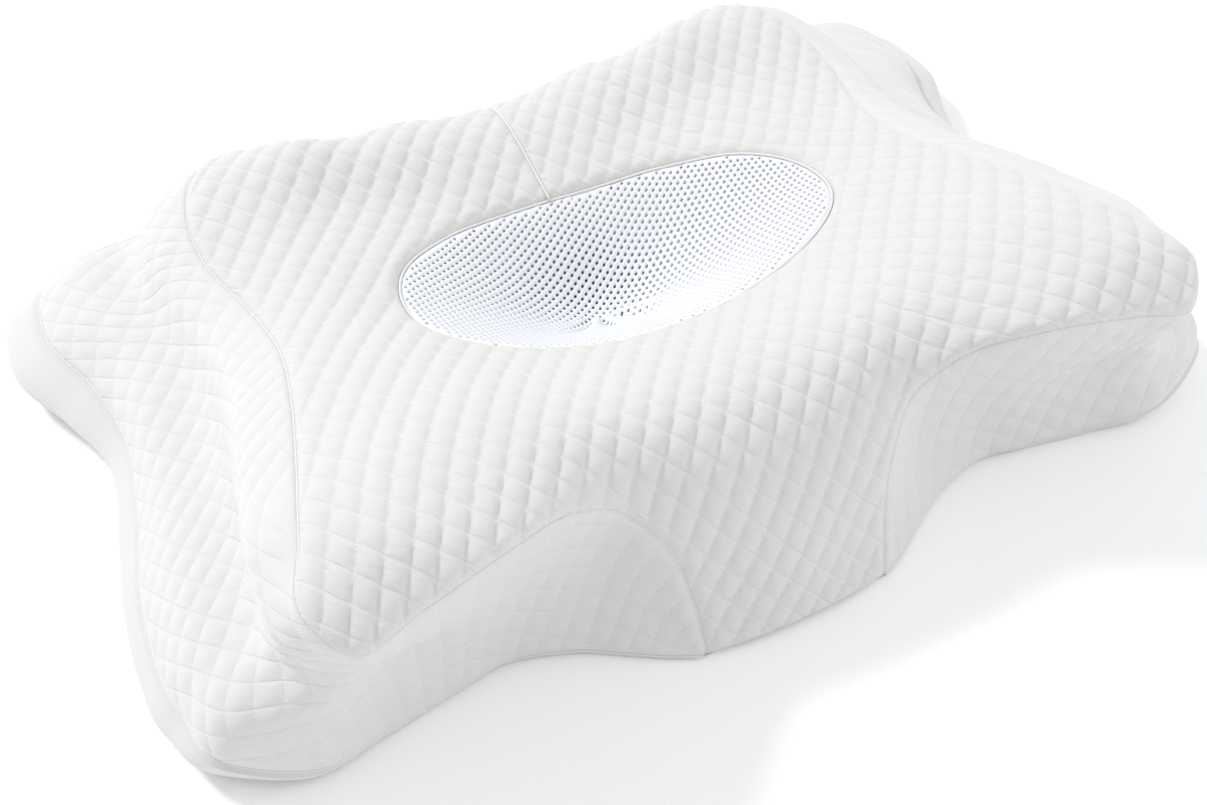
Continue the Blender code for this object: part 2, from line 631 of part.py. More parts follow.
def make_body(material, coarse_points, coarse_faces, outline):
    depth = PANEL_THICK + GAP
    top = top_shape(coarse_points, top_edge(depth, 0.0), depth, 0.0)
    side = side_net(depth, 0.0, 0.0)
    points = [top]
    faces = [tuple(f) for f in coarse_faces]
    seam_right = list(range(STATIONS))
    seam_left = list(range(STATIONS + TAB_EDGE_POINTS, 2 * STATIONS + TAB_EDGE_POINTS))[::-1]
    total = len(top)
    low_loops = []
    for seam_numbers, mirror, flip in ((seam_right, np.ones(3), False), (seam_left, MIRROR, True)):
        numbers = {}
        for i in range(STATIONS):
            for k in range(SIDE_RINGS):
                numbers[i * SIDE_RINGS + k] = total + i * SIDE_RINGS + k
            numbers[i * SIDE_RINGS + SIDE_RINGS - 1] = seam_numbers[i]
        points.append(side * mirror)
        total += len(side)
        for i in (0, STATIONS - 1):
            for k in range(SIDE_RINGS):
                numbers[i * SIDE_RINGS + k] = seam_numbers[i]
        made = []
        for i in range(STATIONS - 1):
            for k in range(SIDE_RINGS - 1):
                a, b = ring_number(i, k, True), ring_number(i + 1, k, True)
                c, d = ring_number(i + 1, k + 1, True), ring_number(i, k + 1, True)
                for tri in ((a, b, d), (b, c, d)):
                    made.append(tuple(numbers[v] for v in tri))
        made = [f for f in made if len(set(f)) == 3]
        faces += [f[::-1] for f in made] if flip else made
        low_loops.append([numbers[ring_number(i, 0, False)] for i in range(STATIONS)])
    right_low, left_low = low_loops
    back = list(range(STATIONS, STATIONS + TAB_EDGE_POINTS))
    front = list(range(len(outline) - TAB_EDGE_POINTS, len(outline)))
    loop = right_low + back + left_low[::-1] + front
    edge = top_edge(depth, 0.0)
    for band in band_loops():
        tabs = []
        for part in (slice(STATIONS, STATIONS + TAB_EDGE_POINTS), slice(len(outline) - TAB_EDGE_POINTS, None)):
            rows = edge[part].copy()
            ends = band[-1] if part.start == STATIONS else band[0]
            rows[:, 1] = ends[1]
            rows[:, 2] = ends[2]
            tabs.append(rows)
        ring = np.concatenate([band, tabs[0], (band * MIRROR)[::-1], tabs[1]])
        points.append(ring)
        numbers = list(range(total, total + len(ring)))
        total += len(ring)
        faces += loop_faces(numbers, loop)
        loop = numbers
    flat = points[-1][:, :2]
    base = wound(flat, triangulate(flat, [list(range(len(flat)))], []))
    base = within(flat, base, flat)
    faces += [(loop[a], loop[c], loop[b]) for a, b, c in base]
    points, faces = drop_unused(np.concatenate(points), faces)
    node("filled_base", points, faces, material, 50)


def main():
    for thing in list(bpy.data.objects):
        bpy.data.objects.remove(thing, do_unlink=True)
    knit = cloth("quilted knit", (0.86, 0.86, 0.85), 0.85)
    side_knit = cloth("side knit", (0.87, 0.87, 0.86), 0.85)
    base_knit = cloth("plain knit", (0.88, 0.88, 0.87), 0.8)
    airy = cloth("airy mesh", (0.83, 0.85, 0.89), 0.7)
    outline = top_outline()
    rim = oval(RIM_POINTS)
    coarse_points, coarse_faces = coarse_net(outline, rim)
    coarse_faces = within(coarse_points, coarse_faces, outline)
    net = quilted_net(outline, rim, QUILT_ACROSS, QUILT_ALONG, QUILT_CLEAR)
    make_top(knit, outline, net, coarse_points, coarse_faces)
    make_mesh_panel(airy, outline, coarse_points, coarse_faces)
    make_side(side_knit)
    make_body(base_knit, coarse_points, coarse_faces, outline)


main()
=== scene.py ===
"""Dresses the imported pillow: quilted knit covers, an airy mesh over the head hollow, and the seams.

The tables and the shapes made from them are in millimetres, for the right half. They follow the pillow's
solids, apart from the walls under the front lobe, which are eased at the crease, and the oval, which is
shorter, wider and slightly turned."""

import math

import bpy
import numpy as np
from mathutils import Matrix, Vector
from mathutils.geometry import delaunay_2d_cdt


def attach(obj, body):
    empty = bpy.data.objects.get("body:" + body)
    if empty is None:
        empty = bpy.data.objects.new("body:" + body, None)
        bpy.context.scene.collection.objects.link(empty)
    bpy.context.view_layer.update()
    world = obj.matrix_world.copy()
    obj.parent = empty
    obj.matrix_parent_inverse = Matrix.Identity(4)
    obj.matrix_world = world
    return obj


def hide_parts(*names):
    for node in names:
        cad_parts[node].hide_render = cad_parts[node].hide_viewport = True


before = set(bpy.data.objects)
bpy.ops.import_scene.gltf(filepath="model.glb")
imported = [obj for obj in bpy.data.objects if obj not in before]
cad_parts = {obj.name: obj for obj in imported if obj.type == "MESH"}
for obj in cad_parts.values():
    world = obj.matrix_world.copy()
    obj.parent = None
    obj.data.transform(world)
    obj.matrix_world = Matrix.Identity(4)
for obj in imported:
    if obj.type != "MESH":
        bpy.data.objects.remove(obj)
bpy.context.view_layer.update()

MM = 0.001
TINY = 1e-9
SMALL = 1e-6
# How many flat points are measured against an outline at a time.
BATCH = 3000
# Where the middle of the pillow's box lies in the tables.
CENTRE_Y = 19.14
# The name of the three marks that a piece keeps at each point.
MARKS = "marks"

# The surfaces through the tables' points, and the small steps that their directions are measured over.
PANEL_SLACK = 12.0
SEAM_SAMPLES = 56
STATIONS = 181
SIDE_MIDDLE = 0.35
NARROW_SIDE = 0.5
FLAT_NUDGE = 1.5
STATION_NUDGE = 0.003
RISE_NUDGE = 0.012
HEM_NUDGE = 0.04
END_CUT = 0.01
TAB_CUT = 0.0015
MITRE_LEAST = 0.62

# The rim of the mesh oval.
OVAL_CENTRE_X = 9.5
OVAL_CENTRE_Y = 37.0
OVAL_HALF_LENGTH = 125.5
OVAL_HALF_WIDTH = 69.5
OVAL_TURN = -4.0
OVAL_BLUNT = 0.88
RIM_POINTS = 200

# The bottom panel's band, from the lip under the hem over its bulge and in to the foot.
BODY_DEPTH = 3.0
BODY_STEP = 9.0
SIDE_RINGS = 15
BAND_RINGS = 14
BAND_FADE = (3.0, 20.0)
BAND_LEAST = 0.3
HEM_LAP = 1.0
LIP_DROP = 2.4
LIP_INSET = 0.3
BULGE_SHARE = 0.57
BULGE_BELOW = 0.15
TURN_IN = 5.0
TURN_SHARE = 0.28
FOOT_TUCK = 13.0
TAB_TUCK = 0.6
UNDER_MESH_DEPTH = 1.8
UNDER_PLEATS_DEPTH = 1.4

# How many channels the top has to a millimetre, along its two flat directions: shallow ones, then deep ones.
TOP_SHALLOW = (0.059, 0.049)
TOP_DEEP = (0.0614, -0.0495)
# How the deep channels bend over the top: by the squares and products of the two flat directions.
TOP_BENDS = (-1.2e-5, -0.94e-5, -0.58e-5, 1.3e-7, 4.6e-8)
BEND_REACH = 270.0
BEND_ROUNDS = 25
# Channels of the side panels: the run along the panel, then channels to a millimetre along it and up it.
LEFT_DEEP = [
    (0.0, -0.088, -0.02),
    (110.0, -0.092, 0.0),
    (220.0, -0.084, 0.035),
    (300.0, -0.06, 0.055),
    (434.0, -0.046, 0.046),
    (900.0, -0.06, 0.046),
]
LEFT_SHALLOW = [
    (0.0, 0.02, -0.064),
    (65.0, 0.022, -0.064),
    (110.0, 0.035, -0.06),
    (246.0, -0.04, -0.07),
    (434.0, -0.06, -0.068),
    (900.0, -0.05, -0.068),
]
RIGHT_SHALLOW = [(0.0, 0.065, -0.025), (200.0, 0.065, -0.025), (320.0, 0.05, -0.05), (900.0, 0.05, -0.05)]
RIGHT_DEEP = [(0.0, -0.045, -0.05), (200.0, -0.038, -0.05), (320.0, 0.03, -0.066), (900.0, 0.05, -0.066)]

# The relief of the quilting, and its slow loose waves.
QUILT_STEPS = 8
QUILT_RISE = 2.1
QUILT_PUFF = 0.56
CROSS_SHARE = 0.62
SIDE_STEP = 1.35
SIDE_RISE = 1.1
SIDE_PUFF = 0.75
SIDE_CROSS_SHARE = 0.9
LOOSE_RISE = 0.2
LOOSE_WAVES = (19.0, 27.0, 71.0)
LOOSE_START = 1.3

# The seams: how far the cloth rolls over and sinks into them, and how finely it is laid out beside them.
SEAM_FADE = 7.0
SEAM_SINK = 1.7
SEAM_ROLL = 2.9
SEAM_PART = 0.15
EDGE_DROP = 1.0
EDGE_ROUND = 9.0
FULL_SINK = EDGE_DROP + SEAM_SINK
EDGE_ROWS = (0.8, 1.9, 3.1)
EDGE_CLEAR = 3.8
BESIDE_SHARE = 0.93
TOP_SEAM_POINTS = 440
TAB_POINTS = 40
ROW_HEIGHT = 0.87
NET_CLEAR = 0.45
LEAST_AREA = 1e-3
CLOSE_POINTS = 1e-7
FAR = 100.0

# The threads along the seams.
THREAD_SIDES = 8
THREAD_RADIUS = 0.6
RIM_RADIUS = 0.8
RIM_PROUD = 0.8
BACK_SEAM_START = 106.5
BACK_SEAM_END = 240.0
BACK_SEAM_POINTS = 60
BACK_SEAM_RISE = 0.35
BACK_SEAM_RADIUS = 0.75
BACK_SEAM_SINK = 0.4
BACK_SEAM_FADE = 4.0

# The airy mesh: its rows of holes, the yarns between them, and the pleats at its deepest point.
NET_TURN = 30.0
NET_PITCH = 3.9
NET_ROW = 3.7
NET_SPARE_ROWS = 8
NET_CLEAR_RIM = 2.6
NET_EDGE_ROWS = (1.2, 2.4)
NET_GRAIN = 0.3
NO_HOLE = -1
HOLE_SIDES = 8
HOLE_HALF_LENGTH = 1.0
HOLE_HALF_WIDTH = 0.68
HOLE_DEPTH = -0.8
LIP_GROW = 1.45
YARN_RISE = 0.55
PLEAT_X = 0.0
PLEAT_Y = 44.0
PLEAT_RISE = 2.1
PLEAT_COUNT = 9.0
PLEAT_FACING = 0.8
PLEAT_START = (4.0, 14.0)
PLEAT_END = (24.0, 50.0)

# The colours of each cloth: its light and shaded patches, which vary at random, and, where it has any, the
# colour of its stitched lines, lighter than the cloth as painted light that lifts the shade in their
# grooves.
TOP_COLOURS = ((0.655, 0.65, 0.64), (0.595, 0.59, 0.58), (0.76, 0.755, 0.745))
SIDE_COLOURS = ((0.665, 0.665, 0.66), (0.61, 0.61, 0.605), (0.70, 0.70, 0.695))
PLAIN_COLOURS = ((0.65, 0.65, 0.645), (0.61, 0.61, 0.605))
MESH_COLOURS = ((0.77, 0.785, 0.82), (0.70, 0.72, 0.77))
THREAD_COLOURS = ((0.74, 0.74, 0.74), (0.64, 0.64, 0.64))
FLOOR_COLOURS = ((0.98, 0.98, 0.98), (0.96, 0.96, 0.96))
# The plain knit where it shows through the mesh, lightened as painted light against the shade there, the
# painted shade it takes round the deepest point, and how far round that point it darkens and the base sinks
# deeper.
UNDER_MESH_PAINTED_LIGHT = (0.86, 0.87, 0.9)
UNDER_DEEP_PAINTED_SHADE = (0.2, 0.21, 0.25)
DEEP_REACH = (12.0, 60.0)
# How fine the loops, patches, strands and twist of each cloth are.
LOOP_SCALE = 900.0
PATCH_SCALE = 14.0
PLAIN_LOOP_SCALE = 700.0
PLAIN_PATCH_SCALE = 16.0
STRAND_SCALE = 1500.0
TWIST_SCALE = 1100.0
FLOOR_SCALE = 3.0
WRINKLE_STRETCH = (5.0, 1.3, 0.0)
# The widths of the stitched lines and of the creased cloth beside them, in channels.
DEEP_LINE = 0.07
SHALLOW_LINE = 0.08
DEEP_MARGIN = 0.2
SHALLOW_MARGIN = 0.3

# The studio, in metres, degrees and watts.
FLOOR_REACH = 4.0
FLOOR_DROP = 0.0004
PHOTO_WIDTH = 1207
SENSOR_WIDTH = 36.0
CAMERA_AZIMUTH = -27.486
CAMERA_ELEVATION = 47.237
CAMERA_PIXELS = 1600.0
CAMERA_DISTANCE = 0.9272
CAMERA_TARGET = (-0.018793, -0.017843, 0.0)
KEY_PLACE = (-2.1, 2.9, 3.4)
KEY_SIZE = 0.9
KEY_POWER = 146.0
FILL_PLACE = (2.4, -1.3, 1.6)
FILL_SIZE = 1.6
FILL_POWER = 20.0
SKY_STRENGTH = 0.83

# Stations run from the front tab's foot round the side to the back tab's foot.
# seam: the top seam. run: how far along the flat top panel it lies, front to back.
SEAM = [
    ("front tab foot", 54.0, -180.0, 3.2, -248.0),
    ("tab low", 57.0, -168.0, 36.0, -214.0),
    ("tab high", 66.0, -155.0, 70.0, -178.0),
    ("recess roof", 84.0, -142.0, 92.0, -154.0),
    ("roof end", 106.0, -144.0, 108.0, -152.0),
    ("lobe under", 147.0, -160.0, 123.0, -165.0),
    ("lobe front", 194.0, -171.0, 121.0, -178.0),
    ("lobe tip", 228.0, -176.0, 117.0, -186.0),
    ("lobe corner", 243.0, -156.0, 129.0, -160.0),
    ("lobe side", 230.0, -118.0, 136.0, -121.0),
    ("front flank", 213.0, -65.0, 128.0, -67.0),
    ("waist front", 201.0, -22.0, 118.0, -23.0),
    ("waist", 192.0, 26.0, 104.0, 26.0),
    ("waist back", 195.0, 80.0, 92.0, 80.0),
    ("back flank", 203.0, 120.0, 90.0, 120.0),
    ("back lobe side", 201.0, 158.0, 94.0, 158.0),
    ("back lobe corner", 189.0, 187.0, 96.0, 189.0),
    ("back lobe tip", 165.0, 206.0, 89.0, 213.0),
    ("back lobe under", 144.0, 206.0, 82.0, 214.0),
    ("back roof", 119.0, 203.0, 74.0, 213.0),
    ("back tab high", 86.0, 197.0, 58.0, 221.0),
    ("back tab mid", 65.0, 199.0, 33.0, 243.0),
    ("back tab foot", 54.0, 206.0, 3.2, 270.0),
]
# The wall under the seam, the crease between the tiers, the shoulder of the lower tier.
WALLS = [
    ("front tab foot", 54.3, -180.0, 3.2, 54.6, -180.0, 3.2, 55.0, -180.0, 3.2),
    ("tab low", 61.0, -168.0, 28.0, 65.0, -167.0, 19.0, 69.0, -169.0, 10.0),
    ("tab high", 72.0, -153.0, 55.0, 79.0, -153.0, 36.0, 85.0, -157.0, 18.0),
    ("recess roof", 91.0, -140.0, 74.0, 98.0, -140.0, 47.0, 105.0, -144.0, 23.0),
    ("roof end", 113.0, -142.0, 84.0, 122.0, -138.0, 54.0, 131.0, -137.0, 27.0),
    ("lobe under", 156.0, -154.0, 92.0, 161.0, -144.0, 58.0, 167.0, -140.0, 28.0),
    ("lobe front", 198.0, -163.0, 94.0, 202.0, -147.0, 62.0, 207.0, -146.0, 34.0),
    ("lobe tip", 229.0, -164.0, 95.0, 237.5, -154.5, 66.0, 245.0, -152.0, 48.0),
    ("lobe corner", 249.0, -146.0, 105.0, 257.0, -130.0, 67.0, 278.0, -139.0, 52.0),
    ("lobe side", 248.0, -114.0, 122.0, 253.0, -99.0, 67.0, 287.0, -106.0, 52.0),
    ("front flank", 238.0, -65.0, 118.0, 247.0, -61.0, 67.0, 286.0, -69.0, 52.0),
    ("waist front", 228.0, -22.0, 109.0, 243.0, -24.0, 67.0, 280.0, -30.0, 51.0),
    ("waist", 218.0, 26.0, 97.0, 235.0, 25.0, 66.0, 270.0, 20.0, 50.0),
    ("waist back", 217.0, 79.0, 85.0, 231.0, 76.0, 66.0, 264.0, 72.0, 53.0),
    ("back flank", 222.0, 119.0, 82.0, 234.0, 113.0, 66.0, 262.0, 111.0, 54.0),
    ("back lobe side", 224.0, 160.0, 80.0, 236.0, 154.0, 64.0, 274.0, 159.0, 53.0),
    ("back lobe corner", 209.0, 196.0, 80.0, 223.0, 190.0, 62.0, 266.0, 199.0, 51.0),
    ("back lobe tip", 174.0, 209.0, 74.0, 186.0, 205.0, 56.0, 220.0, 212.0, 42.0),
    ("back lobe under", 153.0, 206.0, 68.0, 162.0, 202.0, 50.0, 184.0, 205.0, 34.0),
    ("back roof", 129.0, 201.0, 60.0, 138.0, 198.0, 43.0, 151.0, 199.0, 25.0),
    ("back tab high", 94.0, 195.0, 46.0, 101.0, 194.0, 32.0, 108.0, 196.0, 17.0),
    ("back tab mid", 70.0, 198.0, 26.0, 75.0, 198.0, 18.0, 80.0, 200.0, 9.0),
    ("back tab foot", 54.3, 206.0, 3.2, 54.6, 206.0, 3.2, 55.0, 206.0, 3.2),
]
# The lower seam and the roll of the bottom panel below it.
BAND = [
    ("front tab foot", 55.3, -180.0, 3.2, 55.5, -180.0),
    ("tab low", 72.0, -172.0, 3.4, 73.0, -172.5),
    ("tab high", 90.0, -161.0, 3.4, 91.0, -161.5),
    ("recess roof", 112.0, -148.0, 3.4, 113.0, -148.5),
    ("roof end", 139.0, -139.0, 3.4, 140.0, -139.5),
    ("lobe under", 172.0, -142.0, 3.4, 173.0, -142.5),
    ("lobe front", 212.0, -149.0, 5.0, 213.0, -150.0),
    ("lobe tip", 254.0, -158.0, 15.0, 256.0, -156.0),
    ("lobe corner", 290.0, -143.0, 27.0, 294.0, -137.0),
    ("lobe side", 301.0, -108.0, 30.0, 309.0, -109.0),
    ("front flank", 303.0, -73.0, 30.0, 312.0, -74.0),
    ("waist front", 298.0, -33.0, 30.0, 308.0, -34.0),
    ("waist", 285.0, 17.0, 30.0, 297.0, 16.0),
    ("waist back", 276.0, 72.0, 33.0, 287.0, 71.0),
    ("back flank", 281.0, 112.0, 38.0, 299.0, 112.0),
    ("back lobe side", 294.0, 160.0, 40.0, 316.0, 163.0),
    ("back lobe corner", 283.0, 203.0, 38.0, 300.0, 213.0),
    ("back lobe tip", 236.0, 219.0, 20.0, 239.0, 222.0),
    ("back lobe under", 197.0, 209.0, 9.0, 199.0, 211.0),
    ("back roof", 160.0, 202.0, 3.8, 161.0, 202.5),
    ("back tab high", 114.0, 199.0, 3.4, 115.0, 199.5),
    ("back tab mid", 84.0, 202.0, 3.4, 85.0, 202.5),
    ("back tab foot", 55.3, 206.0, 3.2, 55.5, 206.0),
]
# Points inside the top panel: x, run along the flat panel, y, z.
CROWN = [
    ("tab foot", 0.0, -248.0, -184.0, 3.2),
    ("tab foot side", 30.0, -248.0, -183.0, 3.2),
    ("tab low", 0.0, -214.0, -176.0, 37.0),
    ("tab high", 0.0, -178.0, -160.0, 71.0),
    ("tab high side", 40.0, -178.0, -158.0, 71.0),
    ("tab shoulder", 0.0, -150.0, -143.0, 95.0),
    ("tab shoulder side", 50.0, -150.0, -141.0, 97.0),
    ("roll", 0.0, -126.0, -124.0, 109.0),
    ("roll side", 60.0, -126.0, -124.0, 113.0),
    ("crest", 0.0, -100.0, -100.0, 112.0),
    ("crest side", 70.0, -106.0, -106.0, 119.0),
    ("crest out", 120.0, -118.0, -119.0, 127.0),
    ("lobe crest", 165.0, -128.0, -130.0, 137.0),
    ("lobe top", 205.0, -134.0, -137.0, 141.0),
    ("lobe top side", 190.0, -95.0, -95.0, 138.0),
    ("front slope", 0.0, -62.0, -62.0, 99.0),
    ("front slope side", 80.0, -60.0, -60.0, 108.0),
    ("front slope out", 150.0, -60.0, -60.0, 125.0),
    ("shoulder rise", 160.0, -10.0, -10.0, 111.0),
    ("shoulder rest", 165.0, 40.0, 40.0, 99.0),
    ("side back", 165.0, 95.0, 95.0, 91.0),
    ("back lobe top", 160.0, 150.0, 150.0, 97.0),
    ("back slope", 0.0, 130.0, 130.0, 74.0),
    ("back slope side", 70.0, 132.0, 132.0, 79.0),
    ("back slope out", 120.0, 140.0, 140.0, 88.0),
    ("back crest", 0.0, 172.0, 172.0, 83.0),
    ("back crest side", 70.0, 172.0, 172.0, 92.0),
    ("back crest out", 125.0, 182.0, 182.0, 102.0),
    ("back turn", 0.0, 197.0, 193.0, 75.0),
    ("back turn side", 65.0, 201.0, 197.0, 80.0),
    ("back face", 0.0, 233.0, 204.0, 41.0),
    ("back foot", 0.0, 270.0, 208.0, 3.2),
    ("back foot side", 30.0, 270.0, 207.5, 3.2),
    ("rim front", 0.0, -23.0, -23.0, 76.0),
    ("rim front side", 60.0, -15.0, -15.0, 81.0),
    ("rim corner", 104.0, 5.0, 5.0, 89.0),
    ("rim end", 128.0, 43.0, 43.0, 87.0),
    ("rim back corner", 104.0, 81.0, 81.0, 80.0),
    ("rim back side", 60.0, 101.0, 101.0, 71.0),
    ("rim back", 0.0, 109.0, 109.0, 67.0),
    ("dip front", 0.0, 5.0, 5.0, 54.0),
    ("dip front low", 0.0, 26.0, 26.0, 35.0),
    ("dip floor", 0.0, 44.0, 44.0, 28.0),
    ("dip back", 0.0, 76.0, 76.0, 48.0),
    ("dip near", 30.0, 42.0, 42.0, 37.0),
    ("dip mid", 62.0, 42.0, 42.0, 56.0),
    ("dip out", 96.0, 42.0, 42.0, 75.0),
    ("dip front side", 50.0, 8.0, 8.0, 62.0),
    ("dip back side", 50.0, 78.0, 78.0, 58.0),
]


def curve_through(knots, values, where):
    """A smooth curve through the rows of values, with a slope at each knot taken from its neighbours."""
    slopes = np.empty_like(values)
    spans = np.diff(knots)[:, None]
    rises = np.diff(values, axis=0) / spans
    slopes[0] = rises[0]
    slopes[-1] = rises[-1]
    slopes[1:-1] = (rises[:-1] * spans[1:] + rises[1:] * spans[:-1]) / (spans[1:] + spans[:-1])
    place = np.clip(np.searchsorted(knots, where, side="right") - 1, 0, len(knots) - 2)
    span = (knots[place + 1] - knots[place])[:, None]
    part = ((where - knots[place])[:, None] / span).clip(0.0, 1.0)
    return between(values[place], values[place + 1], slopes[place] * span, slopes[place + 1] * span, part)


def between(start, end, leave, arrive, part):
    """The smooth curve from start to end, with its slopes at both."""
    squared, cubed = part**2, part**3
    placed = start * (2 * cubed - 3 * squared + 1) + end * (3 * squared - 2 * cubed)
    return placed + leave * (cubed - 2 * squared + part) + arrive * (cubed - squared)


def columns(table):
    return np.array([row[1:] for row in table])


SEAM_ROWS = columns(SEAM)
WALL_ROWS = columns(WALLS)
BAND_ROWS = columns(BAND)
STEPS = np.linalg.norm(np.diff(SEAM_ROWS[:, :3], axis=0), axis=1)
STATION_KNOTS = np.concatenate([[0.0], np.cumsum(STEPS)])
SEAM_LENGTH = STATION_KNOTS[-1]
STATION_KNOTS = STATION_KNOTS / SEAM_LENGTH
MIRROR = np.array([-1.0, 1.0, 1.0])


def seam_at(station):
    """x, y, z and run of the top seam."""
    return curve_through(STATION_KNOTS, SEAM_ROWS, station)


def unit(vectors):
    return vectors / np.maximum(np.linalg.norm(vectors, axis=1, keepdims=True), TINY)


def smooth_step(values, low, high):
    part = ((values - low) / (high - low)).clip(0.0, 1.0)
    return part * part * (3.0 - 2.0 * part)


class ThinPlate:
    """The smoothest surface over the flat panel that passes through given points."""

    def __init__(self, flat, values, slack):
        count = len(flat)
        self.flat = flat
        matrix = np.zeros((count + 3, count + 3))
        matrix[:count, :count] = self.bend(flat) + slack * np.eye(count)
        matrix[:count, count] = 1.0
        matrix[:count, count + 1 : count + 3] = flat
        matrix[count:, :count] = matrix[:count, count:].T
        wanted = np.zeros((count + 3, values.shape[1]))
        wanted[:count] = values
        self.weights = np.linalg.solve(matrix, wanted)

    def bend(self, where):
        squared = ((where[:, None, :] - self.flat[None, :, :]) ** 2).sum(axis=2)
        return 0.5 * squared * np.log(squared + TINY)

    def at(self, where):
        linear = np.concatenate([np.ones((len(where), 1)), where], axis=1)
        return self.bend(where) @ self.weights[:-3] + linear @ self.weights[-3:]


def make_top_surface():
    seam = seam_at(np.linspace(0.0, 1.0, SEAM_SAMPLES))
    crown = columns(CROWN)
    flat = np.concatenate([seam[:, [0, 3]], crown[:, :2]])
    shape = np.concatenate([seam[:, 1:3], crown[:, 2:4]])
    off_axis = flat[:, 0] > 1.0
    mirrored = flat[off_axis] * [-1.0, 1.0]
    both_flat = np.concatenate([flat, mirrored])
    both_shapes = np.concatenate([shape, shape[off_axis]])
    return ThinPlate(both_flat, both_shapes, PANEL_SLACK)


TOP_SURFACE = make_top_surface()


def top_points(flat):
    return np.column_stack([flat[:, 0], TOP_SURFACE.at(flat)])


def top_normals(flat):
    across = top_points(flat + [FLAT_NUDGE, 0.0]) - top_points(flat - [FLAT_NUDGE, 0.0])
    along = top_points(flat + [0.0, FLAT_NUDGE]) - top_points(flat - [0.0, FLAT_NUDGE])
    return unit(np.cross(across, along))


def side_profile(station):
    """The five points that shape the side at each station, from the lower seam up to the top seam."""
    walls = curve_through(STATION_KNOTS, WALL_ROWS, station)
    band = curve_through(STATION_KNOTS, BAND_ROWS, station)
    seam = seam_at(station)
    return np.stack([band[:, :3], walls[:, 6:9], walls[:, 3:6], walls[:, :3], seam[:, :3]], axis=1)


def side_heights(station):
    """Running length up the five points at each station."""
    lengths = np.linalg.norm(np.diff(side_profile(station), axis=1), axis=2)
    return np.concatenate([np.zeros((len(station), 1)), np.cumsum(lengths, axis=1)], axis=1)


def side_points(station, rise):
    """Points of the right side: rise is 0 at the lower seam and 1 at the top seam."""
    profile = side_profile(station)
    heights = side_heights(station)
    knots = heights / np.maximum(heights[:, -1:], SMALL)
    spans = np.maximum(np.diff(knots, axis=1), SMALL)[:, :, None]
    rises = np.diff(profile, axis=1) / spans
    slopes = np.empty_like(profile)
    slopes[:, 0] = rises[:, 0]
    slopes[:, -1] = rises[:, -1]
    weighed = rises[:, :-1] * spans[:, 1:] + rises[:, 1:] * spans[:, :-1]
    slopes[:, 1:-1] = weighed / (spans[:, 1:] + spans[:, :-1])
    place = (rise[:, None] >= knots[:, 1:-1]).sum(axis=1)
    row = np.arange(len(station))
    span = spans[row, place]
    part = ((rise - knots[row, place])[:, None] / span).clip(0.0, 1.0)
    leave, arrive = slopes[row, place] * span, slopes[row, place + 1] * span
    points = between(profile[row, place], profile[row, place + 1], leave, arrive, part)
    narrow = heights[:, -1] < NARROW_SIDE
    level = rise[:, None]
    points[narrow] = (profile[:, 0] * (1 - level) + profile[:, -1] * level)[narrow]
    return points


def side_normals(station, rise):
    station = np.clip(station, STATION_NUDGE, 1.0 - STATION_NUDGE)
    rise = np.clip(rise, RISE_NUDGE, 1.0 - RISE_NUDGE)
    along = side_points(station + STATION_NUDGE, rise) - side_points(station - STATION_NUDGE, rise)
    up = side_points(station, rise + RISE_NUDGE) - side_points(station, rise - RISE_NUDGE)
    return unit(np.cross(along, up))


def up_the_side(station):
    """The direction up the side from the lower seam."""
    low = np.zeros(len(station))
    return unit(side_points(station, low + HEM_NUDGE) - side_points(station, low))


def oval(count):
    """The rim of the mesh oval, which lies slightly turned on the panel."""
    around = np.linspace(0.0, 2 * math.pi, count, endpoint=False)
    turn = math.radians(OVAL_TURN)
    east, north = np.cos(around), np.sin(around)
    across = OVAL_HALF_LENGTH * np.sign(east) * np.abs(east) ** OVAL_BLUNT
    along = OVAL_HALF_WIDTH * np.sign(north) * np.abs(north) ** OVAL_BLUNT
    turned_across = across * math.cos(turn) - along * math.sin(turn)
    turned_along = across * math.sin(turn) + along * math.cos(turn)
    return np.column_stack([OVAL_CENTRE_X + turned_across, OVAL_CENTRE_Y + turned_along])


def inside(points, outline):
    """Which points lie within a closed outline."""
    kept = np.zeros(len(points), bool)
    ax, ay = outline[:, 0], outline[:, 1]
    bx, by = np.roll(ax, -1), np.roll(ay, -1)
    slope = (bx - ax) / np.where(by == ay, TINY, by - ay)
    for first in range(0, len(points), BATCH):
        x, y = points[first : first + BATCH, 0:1], points[first : first + BATCH, 1:2]
        crosses = (ay > y) != (by > y)
        kept[first : first + BATCH] = (crosses & (x < ax + (y - ay) * slope)).sum(axis=1) % 2 == 1
    return kept


def distance_to(points, outline):
    """The distance from each point to the nearest side of a closed outline."""
    start = outline[None]
    side = np.roll(outline, -1, axis=0)[None] - start
    length = np.maximum((side**2).sum(axis=2), TINY)
    found = np.empty(len(points))
    for first in range(0, len(points), BATCH):
        batch = points[first : first + BATCH, None]
        along = (((batch - start) * side).sum(axis=2) / length).clip(0.0, 1.0)
        nearest = start + along[:, :, None] * side
        found[first : first + BATCH] = np.linalg.norm(batch - nearest, axis=2).min(axis=1)
    return found


